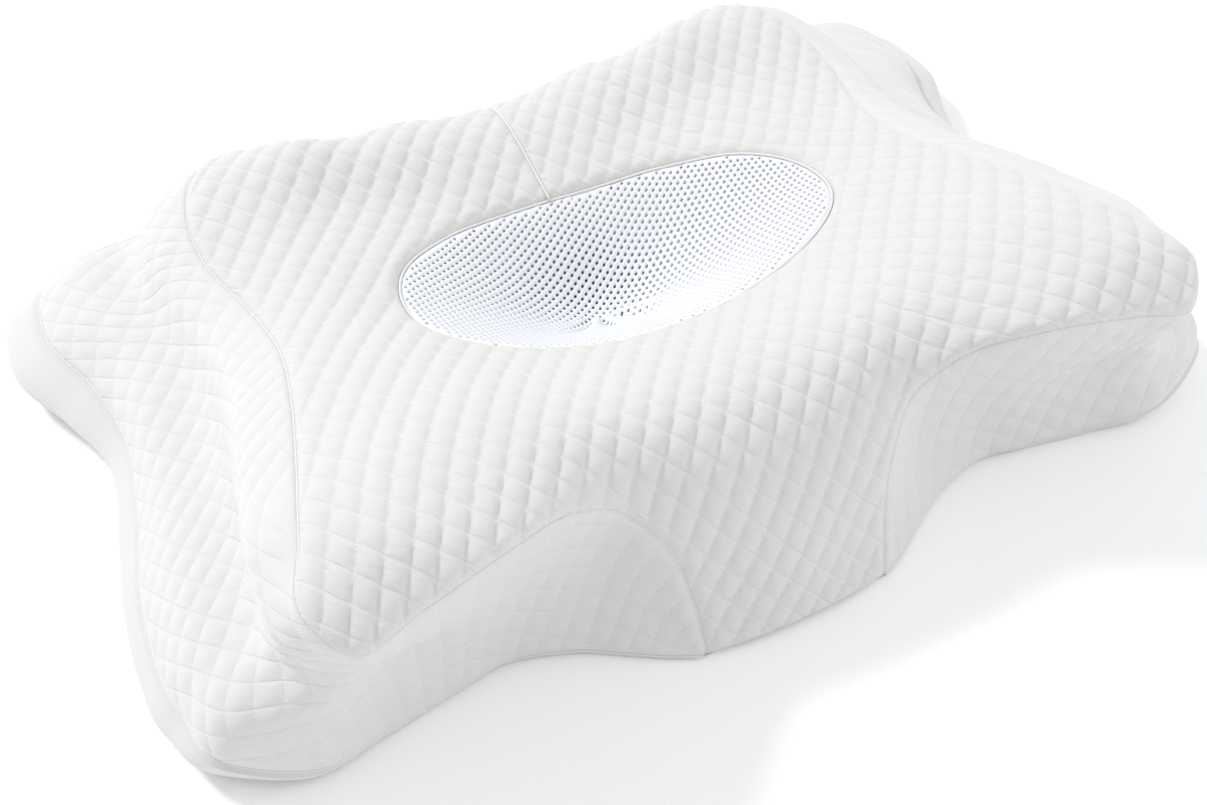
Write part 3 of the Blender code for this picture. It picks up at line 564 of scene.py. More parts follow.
def triangulate(points, loops, outline, holes=()):
    """Counter-clockwise triangles over flat points, within the outline and outside the holes."""
    edges = []
    for loop in loops:
        edges += [(int(loop[i]), int(loop[(i + 1) % len(loop)])) for i in range(len(loop))]
    made = delaunay_2d_cdt([Vector(p) for p in points], edges, [], 0, CLOSE_POINTS, True)
    order = np.array([ids[0] for ids in made[3]])
    faces = order[np.array([tuple(face) for face in made[2]])]
    a, b, c = points[faces[:, 0]], points[faces[:, 1]], points[faces[:, 2]]
    area = (b[:, 0] - a[:, 0]) * (c[:, 1] - a[:, 1]) - (b[:, 1] - a[:, 1]) * (c[:, 0] - a[:, 0])
    faces[area < 0] = faces[area < 0][:, ::-1]
    centres = points[faces].mean(axis=1)
    keep = (np.abs(area) > LEAST_AREA) & inside(centres, outline)
    for hole in holes:
        keep &= ~inside(centres, hole)
    return faces[keep]


def placed(points):
    """From the tables' millimetres to the frame's metres."""
    return (np.asarray(points) - [0.0, CENTRE_Y, 0.0]) * MM


def make_piece(name, points, faces, finish, marks):
    """A piece with smooth faces that keeps three marks at each point, such as its two channel counts."""
    mesh = bpy.data.meshes.new(name)
    mesh.from_pydata(placed(points).tolist(), [], np.asarray(faces).tolist())
    mesh.materials.append(finish)
    mesh.shade_smooth()
    layer = mesh.attributes.new(MARKS, "FLOAT_VECTOR", "POINT")
    layer.data.foreach_set("vector", np.asarray(marks, np.float32).ravel())
    piece = bpy.data.objects.new(name, mesh)
    bpy.context.collection.objects.link(piece)
    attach(piece, "root")
    return piece


def drop_unused(points, marks, faces):
    used, index = np.unique(faces, return_inverse=True)
    return points[used], marks[used], index.reshape(np.shape(faces))


def bent(flat):
    """How far the deep channels of the top stray from straight lines, in channels."""
    across, along = flat.clip(-BEND_REACH, BEND_REACH).T
    terms = (across**2, across * along, along**2, across**2 * along, across * along**2)
    return sum(share * term for share, term in zip(TOP_BENDS, terms))


def top_counts(flat):
    """How many shallow and deep channels lie between each flat point and the middle of the top panel."""
    return flat @ np.array(TOP_SHALLOW), flat @ np.array(TOP_DEEP) + bent(flat)


def between_channels(first, second):
    """The flat points of the top with these channel counts: the other way round from top_counts."""
    turned = np.linalg.inv(np.array([TOP_SHALLOW, TOP_DEEP])).T
    flat = np.column_stack([first, second]) @ turned
    for _ in range(BEND_ROUNDS):
        flat = np.column_stack([first, second - bent(flat)]) @ turned
    return flat


def side_counts(run, height, rows):
    """Channels of one family on a side panel, whose direction changes along the panel."""
    places, along, up = np.array(rows).T
    fine = np.arange(places[0], places[-1] + 1.0)
    passed = np.cumsum(np.interp(fine, places, along))
    return np.interp(run, fine, passed) + np.interp(run, places, up) * height


def puffed(count, puff):
    """The height from one channel to the next: 0 in the channel and 1 halfway."""
    return np.abs(np.sin(math.pi * count)) ** puff


def quilt_relief(flat, counts, distance, rise, cross_share, puff):
    """How far the quilting stands out: deep channels one way, shallow ones the other, flat at seams."""
    shallow, deep = counts
    raised = rise * puffed(deep, puff) * (1.0 - cross_share * (1.0 - puffed(shallow, puff)))
    across, along = flat.T
    wide, long, slant = LOOSE_WAVES
    loose = LOOSE_RISE * np.sin(across / wide + LOOSE_START) * np.sin(along / long + across / slant)
    return (raised + loose) * smooth_step(distance, 0.0, SEAM_FADE)


def seam_sink(distance):
    """How far the cloth drops beside a seam: a wide rounding and a narrow groove."""
    rounding = EDGE_DROP * (1.0 - distance / EDGE_ROUND).clip(0.0, 1.0) ** 2
    return rounding + SEAM_SINK * (1.0 - distance / SEAM_ROLL).clip(0.0, 1.0) ** 2


def quilt_spots(outline):
    """Flat points on the top quilting's own grid, in the box of an outline."""
    low, high = outline.min(axis=0), outline.max(axis=0)
    grids = []
    for counts in top_counts(outline):
        first, last = math.floor(counts.min() * QUILT_STEPS), math.ceil(counts.max() * QUILT_STEPS)
        grids.append(np.arange(first, last + 1) / QUILT_STEPS)
    first, second = [grid.ravel() for grid in np.meshgrid(*grids)]
    spots = between_channels(first, second)
    return spots[((spots > low) & (spots < high)).all(axis=1)]


def beside(outline, insets, inward):
    """Rows of flat points that follow an outline at each inset."""
    along = unit(np.roll(outline, -1, axis=0) - np.roll(outline, 1, axis=0))
    across = np.column_stack([-along[:, 1], along[:, 0]]) * inward
    rows = []
    for inset in insets:
        row = outline + across * inset
        rows.append(row[distance_to(row, outline) > inset * BESIDE_SHARE])
    return np.concatenate(rows)


def fine_net(outline, hole, spots):
    """The points, faces and seam distances of a fine flat net, its outline first and its hole next."""
    edges, rows, loops = [outline], [beside(outline, EDGE_ROWS, 1.0)], [range(len(outline))]
    keep = inside(spots, outline)
    spots = spots[keep]
    distance = distance_to(spots, outline)
    holes = []
    if hole is not None:
        spots, distance = spots[~inside(spots, hole)], distance[~inside(spots, hole)]
        distance = np.minimum(distance, distance_to(spots, hole))
        edges.append(hole)
        rows.append(beside(hole, EDGE_ROWS, -1.0))
        loops.append(range(len(outline), len(outline) + len(hole)))
        holes.append(hole)
    clear = distance > EDGE_CLEAR
    row = np.concatenate(rows)
    edge = np.concatenate(edges)
    row = row[inside(row, outline)]
    row_distance = distance_to(row, outline)
    if hole is not None:
        row_distance = np.minimum(row_distance, distance_to(row, hole))
    flat = np.concatenate([edge, row, spots[clear]])
    distance = np.concatenate([np.zeros(len(edge)), row_distance, distance[clear]])
    return flat, triangulate(flat, loops, outline, holes), distance


def seam_frame(stations):
    """Points of the top seam, the way out between the two panels, and the way from the side to the top."""
    seam = seam_at(stations)
    held = np.clip(stations, END_CUT, 1.0 - END_CUT)
    top = top_normals(seam[:, [0, 3]])
    side = side_normals(held, np.ones(len(held)))
    middle = unit(top + side)
    reach = 1.0 / np.maximum((middle * top).sum(axis=1, keepdims=True), MITRE_LEAST)
    apart = unit(top - side)
    return seam, middle * reach, unit(apart - middle * (apart * middle).sum(axis=1, keepdims=True))


def both_sides(right):
    """Rows of the right half with the left half after them, so that the two run on round the pillow."""
    mirror = MIRROR[: right.shape[1]]
    return right, (right * mirror)[::-1]


def panel_outline(seam, edge_count):
    """The flat outline of the top panel, anticlockwise from the front tab's foot, and the back edge's x."""
    back = np.linspace(seam[-1, 0], -seam[-1, 0], edge_count + 2)[1:-1]
    right, left = both_sides(seam[:, [0, 3]])
    back_edge = np.column_stack([back, np.full(edge_count, seam[-1, 3])])
    front_edge = np.column_stack([-back, np.full(edge_count, seam[0, 3])])
    return np.concatenate([right, back_edge, left, front_edge]), back


def sewn_edge(outline, seam, out, apart):
    """The outline in space, sunk into its seams and parted from the side covers."""
    count = len(seam)
    half = len(outline) // 2
    edge = top_points(outline) - top_normals(outline) * FULL_SINK
    right, left = both_sides(seam[:, :3] - out * FULL_SINK + apart * SEAM_PART)
    edge[:count] = right
    edge[half : half + count] = left
    return edge


def make_top_cover(finish):
    seam, out, apart = seam_frame(np.linspace(0.0, 1.0, TOP_SEAM_POINTS))
    outline = panel_outline(seam, TAB_POINTS)[0]
    rim = oval(RIM_POINTS)
    flat, faces, distance = fine_net(outline, rim, quilt_spots(outline))
    counts = top_counts(flat)
    beside_back = np.abs(flat[:, 0]) + FAR * (flat[:, 1] < BACK_SEAM_START)
    smooth = np.minimum(distance, beside_back * SEAM_FADE / BACK_SEAM_FADE)
    lift = quilt_relief(flat, counts, smooth, QUILT_RISE, CROSS_SHARE, QUILT_PUFF) - seam_sink(distance)
    lift -= BACK_SEAM_SINK * (1.0 - beside_back / SEAM_ROLL).clip(0.0, 1.0)
    points = top_points(flat) + top_normals(flat) * lift[:, None]
    points[: len(outline)] = sewn_edge(outline, seam, out, apart)
    marks = np.column_stack([*counts, smooth])
    cover = make_piece("top_cover", points, faces, finish, marks)
    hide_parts("top_panel")


def middle_run(station):
    """The running length round the middle of the side at each station."""
    stations = np.linspace(0.0, 1.0, STATIONS)
    middle = side_points(stations, np.full(STATIONS, SIDE_MIDDLE))
    lengths = np.linalg.norm(np.diff(middle, axis=0), axis=1)
    return np.interp(station, stations, np.concatenate([[0.0], np.cumsum(lengths)]))


def staggered(low, high, step):
    """Flat points in staggered rows."""
    row = step * ROW_HEIGHT
    count = int((high[1] - low[1]) / row) + 2
    first, last = int(low[0] / step) - 2, int(high[0] / step) + 2
    spots = []
    for n in range(count):
        spots += [(step * (m + 0.5 * (n % 2)), low[1] + n * row) for m in range(first, last + 1)]
    return np.array(spots)


def make_side_covers(finish):
    """The right side cover and its mirror on the left, each with a weave of its own."""
    stations = np.linspace(TAB_CUT, 1.0 - TAB_CUT, TOP_SEAM_POINTS)
    heights = side_heights(stations)[:, -1]
    low = np.column_stack([stations * SEAM_LENGTH, np.zeros(len(stations))])
    high = np.column_stack([stations * SEAM_LENGTH, heights])[::-1]
    outline = np.concatenate([low, high])
    spots = staggered(outline.min(axis=0), outline.max(axis=0), SIDE_STEP)
    flat, faces, distance = fine_net(outline, None, spots)
    station = flat[:, 0] / SEAM_LENGTH
    height = flat[:, 1]
    rise = (height / side_heights(station)[:, -1]).clip(0.0, 1.0)
    normals = side_normals(station, rise)
    bare = side_points(station, rise) - normals * seam_sink(distance)[:, None]
    run = middle_run(station)
    count = len(stations)
    seam, out, apart = seam_frame(stations)
    edge = seam[:, :3] - out * FULL_SINK - apart * SEAM_PART
    weaves = (
        ("right", np.ones(3), 1, RIGHT_SHALLOW, RIGHT_DEEP),
        ("left", MIRROR, -1, LEFT_SHALLOW, LEFT_DEEP),
    )
    for name, mirror, order, shallow, deep in weaves:
        counts = side_counts(run, height, shallow), side_counts(run, height, deep)
        lift = quilt_relief(flat, counts, distance, SIDE_RISE, SIDE_CROSS_SHARE, SIDE_PUFF)
        points = bare + normals * lift[:, None]
        points[count : 2 * count] = edge[::-1]
        marks = np.column_stack([*counts, distance])
        turned = faces[:, ::order]
        cover = make_piece(f"side_cover_{name}", points * mirror, turned, finish, marks)
        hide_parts(f"side_panel_{name}")


def ring_faces(first, second):
    """Triangles between two closed loops of equal length."""
    first, second = np.asarray(first), np.asarray(second)
    after, above = np.roll(first, -1), np.roll(second, -1)
    below = np.column_stack([first, after, second])
    return np.concatenate([below, np.column_stack([after, above, second])])


def band_rows(stations):
    """The rows of the band below the side covers, from the hem down to the foot, at each station."""
    rows = curve_through(STATION_KNOTS, BAND_ROWS, stations)
    held = np.clip(stations, END_CUT, 1.0 - END_CUT)
    flush = smooth_step(rows[:, 2:3], *BAND_FADE)
    outward = side_normals(held, np.zeros(len(held)))
    level = unit(outward * [1.0, 1.0, 0.0])
    down = -up_the_side(held)
    hem = rows[:, :3] - outward * FULL_SINK
    tucked = rows[:, :3] - outward * BODY_DEPTH - down * HEM_LAP * flush
    inset = BODY_DEPTH * (1.0 - flush) + LIP_INSET * flush
    lip = rows[:, :3] + down * LIP_DROP * flush - outward * inset
    bulge_z = np.maximum(np.minimum(rows[:, 2] * BULGE_SHARE, lip[:, 2] - BULGE_BELOW), BAND_LEAST)
    bulge = np.column_stack([rows[:, 3:5], bulge_z]) - level * BODY_DEPTH * (1.0 - flush)
    turn = bulge - level * TURN_IN * flush
    turn[:, 2] = bulge_z * TURN_SHARE
    foot = bulge - level * (TAB_TUCK + (FOOT_TUCK - TAB_TUCK) * flush)
    foot[:, 2] = 0.0
    corners = np.stack([lip, bulge, turn, foot])
    return [tucked, hem, *(through_rows(corners, part) for part in np.linspace(0.0, 1.0, BAND_RINGS))]


def through_rows(corners, part):
    """One row between the corner rows, on a smooth curve through them."""
    knots = np.linspace(0.0, 1.0, len(corners))
    flat = corners.reshape(len(corners), -1)
    row = curve_through(knots, flat, np.array([part]))[0].reshape(corners.shape[1:])
    row[:, 2] = np.maximum(row[:, 2], 0.0)
    return row


def under_covers(flat):
    """How deep the base lies under the covers, and its marks: under the mesh, for painted light, and near
    the deepest point, for painted shade.
    """
    under_mesh = inside(flat, oval(RIM_POINTS)).astype(float)
    deep = 1.0 - smooth_step(np.linalg.norm(flat - [PLEAT_X, PLEAT_Y], axis=1), *DEEP_REACH)
    depth = np.where(under_mesh > 0.0, UNDER_MESH_DEPTH + UNDER_PLEATS_DEPTH * deep, BODY_DEPTH)
    return depth, np.column_stack([under_mesh, deep, np.zeros(len(flat))])


def wall_numbers(first, seam_numbers):
    """The numbers of one wall's points, up to the top's edge, with a single point at each end."""
    numbers = np.empty((STATIONS, SIDE_RINGS), int)
    numbers[:, :-1] = first + np.arange(STATIONS * (SIDE_RINGS - 1)).reshape(STATIONS, -1)
    numbers[:, -1] = seam_numbers
    numbers[0, :] = numbers[0, -1]
    numbers[-1, :] = numbers[-1, -1]
    return numbers


def wall_faces(numbers):
    """Triangles over a grid of numbered points, without those that shrink to a line."""
    a, b = numbers[:-1, :-1].ravel(), numbers[1:, :-1].ravel()
    c, d = numbers[1:, 1:].ravel(), numbers[:-1, 1:].ravel()
    made = np.concatenate([np.column_stack([a, b, d]), np.column_stack([b, c, d])])
    same = (made[:, 0] == made[:, 1]) | (made[:, 1] == made[:, 2]) | (made[:, 0] == made[:, 2])
    return made[~same]


def band_ring(band, back):
    """One closed row of the band, with straight rows across the feet of the two tabs."""
    feet = []
    for across, row in ((back, band[-1]), (-back, band[0])):
        feet.append(np.column_stack([across, np.full(TAB_POINTS, row[1]), np.full(TAB_POINTS, row[2])]))
    right, left = both_sides(band)
    return np.concatenate([right, feet[0], left, feet[1]])


def make_base(finish):
    """The bottom panel and the foam in one closed form, which fills the covers."""
    stations = np.concatenate([[0.0], np.linspace(END_CUT, 1.0 - END_CUT, STATIONS - 2), [1.0]])
    seam, out, _ = seam_frame(stations)
    outline, back = panel_outline(seam, TAB_POINTS)
    spots = staggered(outline.min(axis=0), outline.max(axis=0), BODY_STEP)
    spots = spots[inside(spots, outline)]
    spots = spots[distance_to(spots, outline) > BODY_STEP * NET_CLEAR]
    flat = np.concatenate([outline, spots])
    depth, top_marks = under_covers(flat)
    top = top_points(flat) - top_normals(flat) * depth[:, None]
    count = len(outline)
    half = count // 2
    edge_right, edge_left = both_sides(seam[:, :3] - out * BODY_DEPTH)
    top[:STATIONS] = edge_right
    top[half : half + STATIONS] = edge_left
    points = [top]
    faces = [triangulate(flat, [range(count)], outline)]
    total = len(top)
    rises = np.linspace(0.0, 1.0, SIDE_RINGS)[:-1]
    station, rise = np.repeat(stations, SIDE_RINGS - 1), np.tile(rises, STATIONS)
    held = np.clip(station, END_CUT, 1.0 - END_CUT)
    wall = side_points(held, rise) - side_normals(held, rise) * BODY_DEPTH
    low_loops = []
    for seam_start, mirror, order in ((0, np.ones(3), 1), (half, MIRROR, -1)):
        numbers = wall_numbers(total, np.arange(seam_start, seam_start + STATIONS)[::order])
        points.append(wall * mirror)
        faces.append(wall_faces(numbers)[:, ::order])
        low_loops.append(numbers[:, 0])
        total += len(wall)
    back_numbers = np.arange(STATIONS, STATIONS + TAB_POINTS)
    front_numbers = np.arange(half + STATIONS, count)
    loop = np.concatenate([low_loops[0], back_numbers, low_loops[1][::-1], front_numbers])
    for band in band_rows(stations):
        ring = band_ring(band, back)
        numbers = np.arange(total, total + len(ring))
        points.append(ring)
        faces.append(ring_faces(numbers, loop))
        total += len(ring)
        loop = numbers
    under = points[-1][:, :2]
    foot = triangulate(under, [range(len(under))], under)
    faces.append(loop[foot][:, ::-1])
    marks = np.zeros((total, 3))
    marks[: len(top)] = top_marks
    points, marks, faces = drop_unused(np.concatenate(points), marks, np.concatenate(faces))
    base = make_piece("foam_and_base", points, faces, finish, marks)
    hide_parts("filled_base")


def net_spots():
    """The middles of the mesh's holes inside the oval, and the directions along and across their rows."""
    turn = math.radians(NET_TURN)
    along = np.array([math.cos(turn), math.sin(turn)])
    across = np.array([-math.sin(turn), math.cos(turn)])
    reach = int(OVAL_HALF_LENGTH / NET_ROW) + NET_SPARE_ROWS
    steps = np.arange(-reach, reach + 1)
    i, j = [grid.ravel() for grid in np.meshgrid(steps, steps)]
    spots = np.outer((i + 0.5 * (j % 2)) * NET_PITCH, along) + np.outer(j * NET_ROW, across)
    spots += [OVAL_CENTRE_X, OVAL_CENTRE_Y]
    rim = oval(RIM_POINTS)
    spots = spots[inside(spots, rim)]
    return spots[distance_to(spots, rim) > NET_CLEAR_RIM], along, across


def pleats(flat):
    """Small folds of the mesh that run from its deepest point towards the front."""
    away = flat - [PLEAT_X, PLEAT_Y]
    reach = np.linalg.norm(away, axis=1)
    angle = np.arctan2(away[:, 0], -away[:, 1])
    facing = smooth_step(np.cos(angle), 0.0, PLEAT_FACING)
    near = smooth_step(reach, *PLEAT_START) * (1.0 - smooth_step(reach, *PLEAT_END))
    return PLEAT_RISE * np.sin(angle * PLEAT_COUNT) * facing * near


def net_points(middles, along, across, rim):
    """Flat points of the mesh, how far each is lifted, and the hole whose edge it lies on."""
    turns = np.linspace(0.0, 2 * math.pi, HOLE_SIDES, endpoint=False)
    shape = np.outer(np.cos(turns), along * HOLE_HALF_LENGTH)
    shape = shape + np.outer(np.sin(turns), across * HOLE_HALF_WIDTH)
    holes = np.repeat(np.arange(len(middles)), HOLE_SIDES)
    rows = [(rim, -FULL_SINK, NO_HOLE)]
    for grow, lift, owner in ((1.0, HOLE_DEPTH, holes), (LIP_GROW, 0.0, NO_HOLE)):
        rows.append(((middles[:, None] + shape[None] * grow).reshape(-1, 2), lift, owner))
    half_pitch, half_row = along * NET_PITCH / 2, across * NET_ROW / 2
    for shift, lift in ((half_pitch, 0.0), (half_row, YARN_RISE), (half_pitch + half_row, YARN_RISE)):
        rows += [(middles + shift * side, lift, NO_HOLE) for side in (1.0, -1.0)]
    lifts = [np.full(len(flat), lift) for flat, lift, _ in rows]
    owners = [np.zeros(len(flat), int) + owner for flat, _, owner in rows]
    return np.concatenate([row[0] for row in rows]), np.concatenate(lifts), np.concatenate(owners)


def make_mesh_cover(finish):
    """The oval of airy mesh: rows of holes between raised yarns."""
    middles, along, across = net_spots()
    rim = oval(RIM_POINTS)
    flat, lift, owner = net_points(middles, along, across, rim)
    grain = np.round(flat / NET_GRAIN).astype(int)
    first = np.sort(np.unique(grain, axis=0, return_index=True)[1])
    flat, lift, owner = flat[first], lift[first], owner[first]
    distance = distance_to(flat, rim)
    keep = (inside(flat, rim) & (distance > NET_EDGE_ROWS[0])) | (distance < SMALL)
    rows = beside(rim, NET_EDGE_ROWS, 1.0)
    flat = np.concatenate([flat[keep], rows])
    lift = np.concatenate([lift[keep], np.zeros(len(rows))])
    owner = np.concatenate([owner[keep], np.full(len(rows), NO_HOLE)])
    distance = np.concatenate([distance[keep], distance_to(rows, rim)])
    on_rim = distance < SMALL
    faces = triangulate(flat, [np.flatnonzero(on_rim)], rim)
    a, b, c = owner[faces].T
    faces = faces[(a == NO_HOLE) | (a != b) | (b != c)]
    lift = lift + pleats(flat) - seam_sink(distance) * ~on_rim
    points = top_points(flat) + top_normals(flat) * lift[:, None]
    marks = np.column_stack([flat @ along / NET_PITCH, flat @ across / NET_ROW, distance])
    cover = make_piece("mesh_oval", points, faces, finish, marks)
    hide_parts("mesh_panel")


def make_thread(name, path, outward, radius, closed, finish):
    """A thin raised line of thread along a seam."""
    count = len(path)
    if closed:
        along = unit(np.roll(path, -1, axis=0) - np.roll(path, 1, axis=0))
    else:
        along = unit(np.gradient(path, axis=0))
    up = unit(outward - along * (outward * along).sum(axis=1, keepdims=True))
    sideways = np.cross(along, up)
    turns = np.linspace(0.0, 2 * math.pi, THREAD_SIDES, endpoint=False)
    rise = up[:, None] * np.sin(turns)[None, :, None]
    rings = path[:, None] + radius * (rise + sideways[:, None] * np.cos(turns)[None, :, None])
    numbers = np.arange(count * THREAD_SIDES).reshape(count, THREAD_SIDES)
    joins = count if closed else count - 1
    faces = [ring_faces(numbers[i], numbers[(i + 1) % count]) for i in range(joins)]
    if not closed:
        fan = np.arange(1, THREAD_SIDES - 1)
        for ring, order in ((numbers[0], -1), (numbers[-1], 1)):
            cap = np.column_stack([np.full(len(fan), ring[0]), ring[fan], ring[fan + 1]])
            faces.append(cap[:, ::order])
    points = rings.reshape(-1, 3)
    return make_piece(name, points, np.concatenate(faces), finish, np.zeros((len(points), 3)))


def make_seams(finish):
    """The threads along the top seam, the lower seam, the oval's rim and the short seam behind it."""
    stations = np.linspace(TAB_CUT, 1.0 - TAB_CUT, TOP_SEAM_POINTS)
    seam, out, _ = seam_frame(stations)
    sunk = FULL_SINK - THREAD_RADIUS
    low = np.zeros(len(stations))
    hem_out = side_normals(stations, low)
    hem = side_points(stations, low) - hem_out * sunk
    for name, mirror in (("right", np.ones(3)), ("left", MIRROR)):
        path, outward = (seam[:, :3] - out * sunk) * mirror, unit(out) * mirror
        make_thread(f"top_seam_{name}", path, outward, THREAD_RADIUS, False, finish)
        path, outward = hem * mirror, hem_out * mirror
        make_thread(f"lower_seam_{name}", path, outward, THREAD_RADIUS, False, finish)
    rim = oval(RIM_POINTS * 2)
    path = top_points(rim) - top_normals(rim) * (sunk - RIM_PROUD)
    make_thread("oval_seam", path, top_normals(rim), RIM_RADIUS, True, finish)
    run = np.linspace(BACK_SEAM_START, BACK_SEAM_END, BACK_SEAM_POINTS)
    line = np.column_stack([np.zeros(BACK_SEAM_POINTS), run])
    path = top_points(line) + top_normals(line) * BACK_SEAM_RISE
    make_thread("back_seam", path, top_normals(line), BACK_SEAM_RADIUS, False, finish)


class Thread:
    """One value in a fabric's nodes. An expression on it adds its Math nodes."""

    def __init__(self, fabric, socket):
        self.fabric = fabric
        self.socket = socket

    def math(self, operation, *values):
        settings = {"operation": operation}
        return self.fabric.add("ShaderNodeMath", settings, dict(enumerate(values)))

    def __add__(self, other):
        return self.math("ADD", self, other)

    def __sub__(self, other):
        return self.math("SUBTRACT", self, other)

    def __rsub__(self, other):
        return self.math("SUBTRACT", other, self)

    def __mul__(self, other):
        return self.math("MULTIPLY", self, other)

    def __abs__(self):
        return self.math("ABSOLUTE", self)

    __radd__ = __add__
    __rmul__ = __mul__


class Fabric:
    """A fabric's material: its nodes are added one at a time and fed values or links."""

    def __init__(self, name, roughness, sheen):
        self.material = bpy.data.materials.new(name)
        self.material.use_nodes = True
        self.nodes = self.material.node_tree.nodes
        self.shader = self.nodes["Principled BSDF"]
        self.feed(self.shader.inputs["Roughness"], roughness)
        self.feed(self.shader.inputs["Sheen Weight"], sheen)
        self.feed(self.shader.inputs["Specular IOR Level"], 0.25)

    def feed(self, socket, value):
        if isinstance(value, Thread):
            self.material.node_tree.links.new(value.socket, socket)
        else:
            socket.default_value = value

    def add(self, kind, settings, sockets, out=0):
        """A node of any type: its settings first, then the values or links of its sockets."""
        made = self.nodes.new(kind)
        for name, value in settings.items():
            if name == "stops":
                for stop, (place, colour) in zip(made.color_ramp.elements, value):
                    stop.position = place
                    stop.color = colour
            else:
                setattr(made, name, value)
        for name, value in sockets.items():
            self.feed(made.inputs[name], value)
        return Thread(self, made.outputs[out])

    def marks(self):
        return self.add("ShaderNodeAttribute", {"attribute_name": MARKS}, {}, 1)

    def mark(self, part):
        """One of the three marks that a piece keeps at each point."""
        return self.add("ShaderNodeSeparateXYZ", {}, {0: self.marks()}, part)

    def noise(self, scale, detail=2.0):
        where = self.add("ShaderNodeTexCoord", {}, {}, 3)
        return self.add("ShaderNodeTexNoise", {}, {"Vector": where, "Scale": scale, "Detail": detail}, 0)

    def wrinkles(self):
        """Small folds that run across the deep channels."""
        sockets = {0: self.marks(), 1: WRINKLE_STRETCH}
        where = self.add("ShaderNodeVectorMath", {"operation": "MULTIPLY"}, sockets)
        return self.add("ShaderNodeTexNoise", {}, {"Vector": where, "Scale": 1.0, "Detail": 2.0}, 0)

    def line(self, count, width):
        """1 on each channel's line and 0 between the lines."""
        off = abs(count.math("FRACT", count + 0.5) - 0.5)
        return off.math("SMOOTH_MAX", 1.0 - off * (1.0 / width), 0.0, 0.05)

    def blend(self, factor, first, second):
        """A colour between two, each one a link or three numbers."""
        settings = {"data_type": "RGBA", "blend_type": "MIX"}
        colours = [colour if isinstance(colour, Thread) else (*colour, 1.0) for colour in (first, second)]
        return self.add("ShaderNodeMix", settings, {0: factor, 6: colours[0], 7: colours[1]}, 2)

    def bump(self, height, strength, distance):
        sockets = {"Strength": strength, "Distance": distance, "Height": height}
        return self.add("ShaderNodeBump", {}, sockets)

    def finish(self, colour, normal):
        self.feed(self.shader.inputs["Base Color"], colour)
        self.feed(self.shader.inputs["Normal"], normal)
        return self.material


def quilted_knit(name, colours, stitch_depth, creasing):
    """A soft white knit whose stitched channels and fine loops show as low relief."""
    light, shade, stitch_painted_light = colours
    knit = Fabric(name, 0.82, 0.2)
    stitched = knit.line(knit.mark(1), DEEP_LINE)
    crossed = knit.line(knit.mark(0), SHALLOW_LINE)
    loops = knit.noise(LOOP_SCALE, 3.0)
    shallow_margin = knit.line(knit.mark(0), SHALLOW_MARGIN)
    beside_stitches = shallow_margin * 0.5 + knit.line(knit.mark(1), DEEP_MARGIN) * 0.3 + 0.4
    groove = (stitched * 0.3 + crossed * 0.8) * stitch_depth
    height = loops * 0.2 + knit.wrinkles() * beside_stitches * creasing - groove
    cloth = knit.blend(knit.noise(PATCH_SCALE) * 0.3, light, shade)
    # The stitched and crossed lines are painted lighter than the cloth: painted light that lifts the shade
    # in their grooves.
    colour = knit.blend(stitched * 0.4 + crossed * 0.3, cloth, stitch_painted_light)
    return knit.finish(colour, knit.bump(height, 0.8, 0.0006))


def plain_knit(name, colours):
    """The smooth knit of the bottom panel: lightened where it shows through the mesh as painted light
    against the shade there, and darker near the deepest point as painted shade.
    """
    knit = Fabric(name, 0.85, 0.2)
    under_mesh, deep = knit.mark(0), knit.mark(1)
    cloth = knit.blend(knit.noise(PLAIN_PATCH_SCALE) * 0.3, *colours)
    # Under the mesh the knit is painted lighter, painted light against the shade there, and darker round the
    # deepest point, painted shade in the hollow.
    colour = knit.blend(under_mesh, cloth, knit.blend(deep, UNDER_MESH_PAINTED_LIGHT, UNDER_DEEP_PAINTED_SHADE))
    height = knit.noise(PLAIN_LOOP_SCALE, 3.0) * 0.4
    return knit.finish(colour, knit.bump(height, 0.5, 0.0005))


def airy_mesh(name, colours):
    """White open mesh with fine yarns."""
    mesh = Fabric(name, 0.6, 0.1)
    strands = mesh.noise(STRAND_SCALE)
    return mesh.finish(mesh.blend(strands * 0.4, *colours), mesh.bump(strands, 0.5, 0.0004))


def sewing_thread(name, colours):
    """White twisted thread."""
    thread = Fabric(name, 0.6, 0.1)
    twist = thread.noise(TWIST_SCALE, 1.0)
    return thread.finish(thread.blend(twist * 0.5, *colours), thread.bump(twist, 0.4, 0.0003))


def floor_paint(name, colours):
    """Smooth matt white, hardly mottled."""
    paint = Fabric(name, 0.9, 0.0)
    mottle = paint.noise(FLOOR_SCALE)
    return paint.finish(paint.blend(mottle * 0.1, *colours), paint.bump(mottle, 0.02, 0.0005))


def make_floor():
    """A plain pale floor under the pillow."""
    floor = bpy.data.meshes.new("floor")
    corners = [(FLOOR_REACH * x, FLOOR_REACH * y, 0.0) for x, y in ((-1, -1), (1, -1), (1, 1), (-1, 1))]
    floor.from_pydata(corners, [], [(0, 1, 2, 3)])
    floor.materials.append(floor_paint("floor paint", FLOOR_COLOURS))
    piece = bpy.data.objects.new("floor", floor)
    piece.location.z = -FLOOR_DROP
    bpy.context.collection.objects.link(piece)


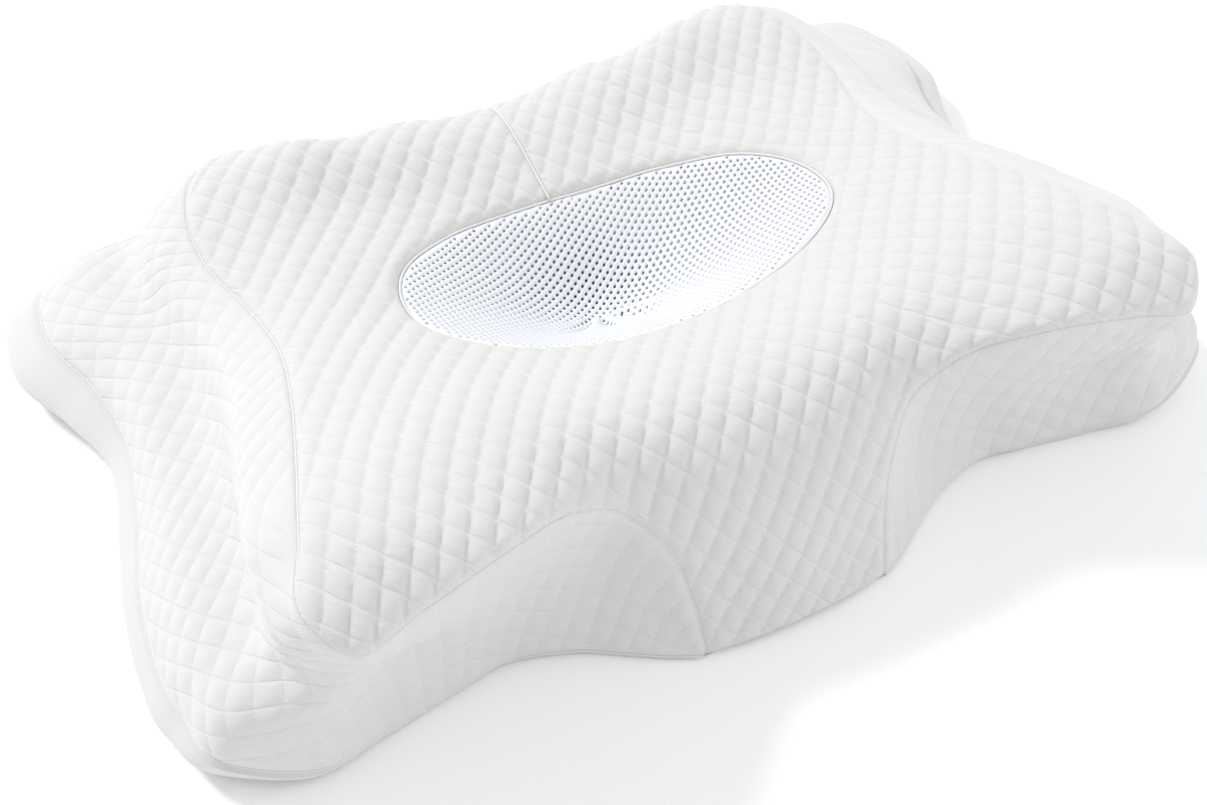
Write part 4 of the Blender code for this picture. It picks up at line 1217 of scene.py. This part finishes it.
def make_camera():
    """The camera, at the photograph's viewing angle."""
    turn, tilt = math.radians(CAMERA_AZIMUTH), math.radians(CAMERA_ELEVATION)
    back = Vector((math.sin(turn) * math.cos(tilt), -math.cos(turn) * math.cos(tilt), math.sin(tilt)))
    right = Vector((math.cos(turn), math.sin(turn), 0.0))
    up = back.cross(right)
    lens = bpy.data.cameras.new("camera")
    lens.sensor_width = SENSOR_WIDTH
    lens.lens = SENSOR_WIDTH * CAMERA_PIXELS / PHOTO_WIDTH
    camera = bpy.data.objects.new("camera", lens)
    bpy.context.collection.objects.link(camera)
    turned = Matrix((right, up, back)).transposed().to_4x4()
    camera.matrix_world = Matrix.Translation(Vector(CAMERA_TARGET) + back * CAMERA_DISTANCE) @ turned
    bpy.context.scene.camera = camera


def make_light(name, place, size, power):
    """A soft square light that faces the pillow."""
    lamp = bpy.data.lights.new(name, "AREA")
    lamp.shape = "SQUARE"
    lamp.size = size
    lamp.energy = power
    light = bpy.data.objects.new(name, lamp)
    light.location = place
    light.rotation_euler = Vector(place).to_track_quat("Z", "Y").to_euler()
    bpy.context.collection.objects.link(light)


def make_lights():
    make_light("key", KEY_PLACE, KEY_SIZE, KEY_POWER)
    make_light("fill", FILL_PLACE, FILL_SIZE, FILL_POWER)
    world = bpy.data.worlds.new("studio")
    world.use_nodes = True
    sky = world.node_tree.nodes["Background"]
    sky.inputs["Color"].default_value = (1.0, 1.0, 1.0, 1.0)
    sky.inputs["Strength"].default_value = SKY_STRENGTH
    bpy.context.scene.world = world
    bpy.context.scene.view_settings.view_transform = "Standard"


def main():
    make_camera()
    make_lights()
    make_floor()
    make_base(plain_knit("plain knit", PLAIN_COLOURS))
    make_top_cover(quilted_knit("quilted knit", TOP_COLOURS, stitch_depth=0.7, creasing=2.2))
    make_side_covers(quilted_knit("side knit", SIDE_COLOURS, stitch_depth=0.7, creasing=0.9))
    make_mesh_cover(airy_mesh("airy mesh", MESH_COLOURS))
    make_seams(sewing_thread("sewing thread", THREAD_COLOURS))


main()
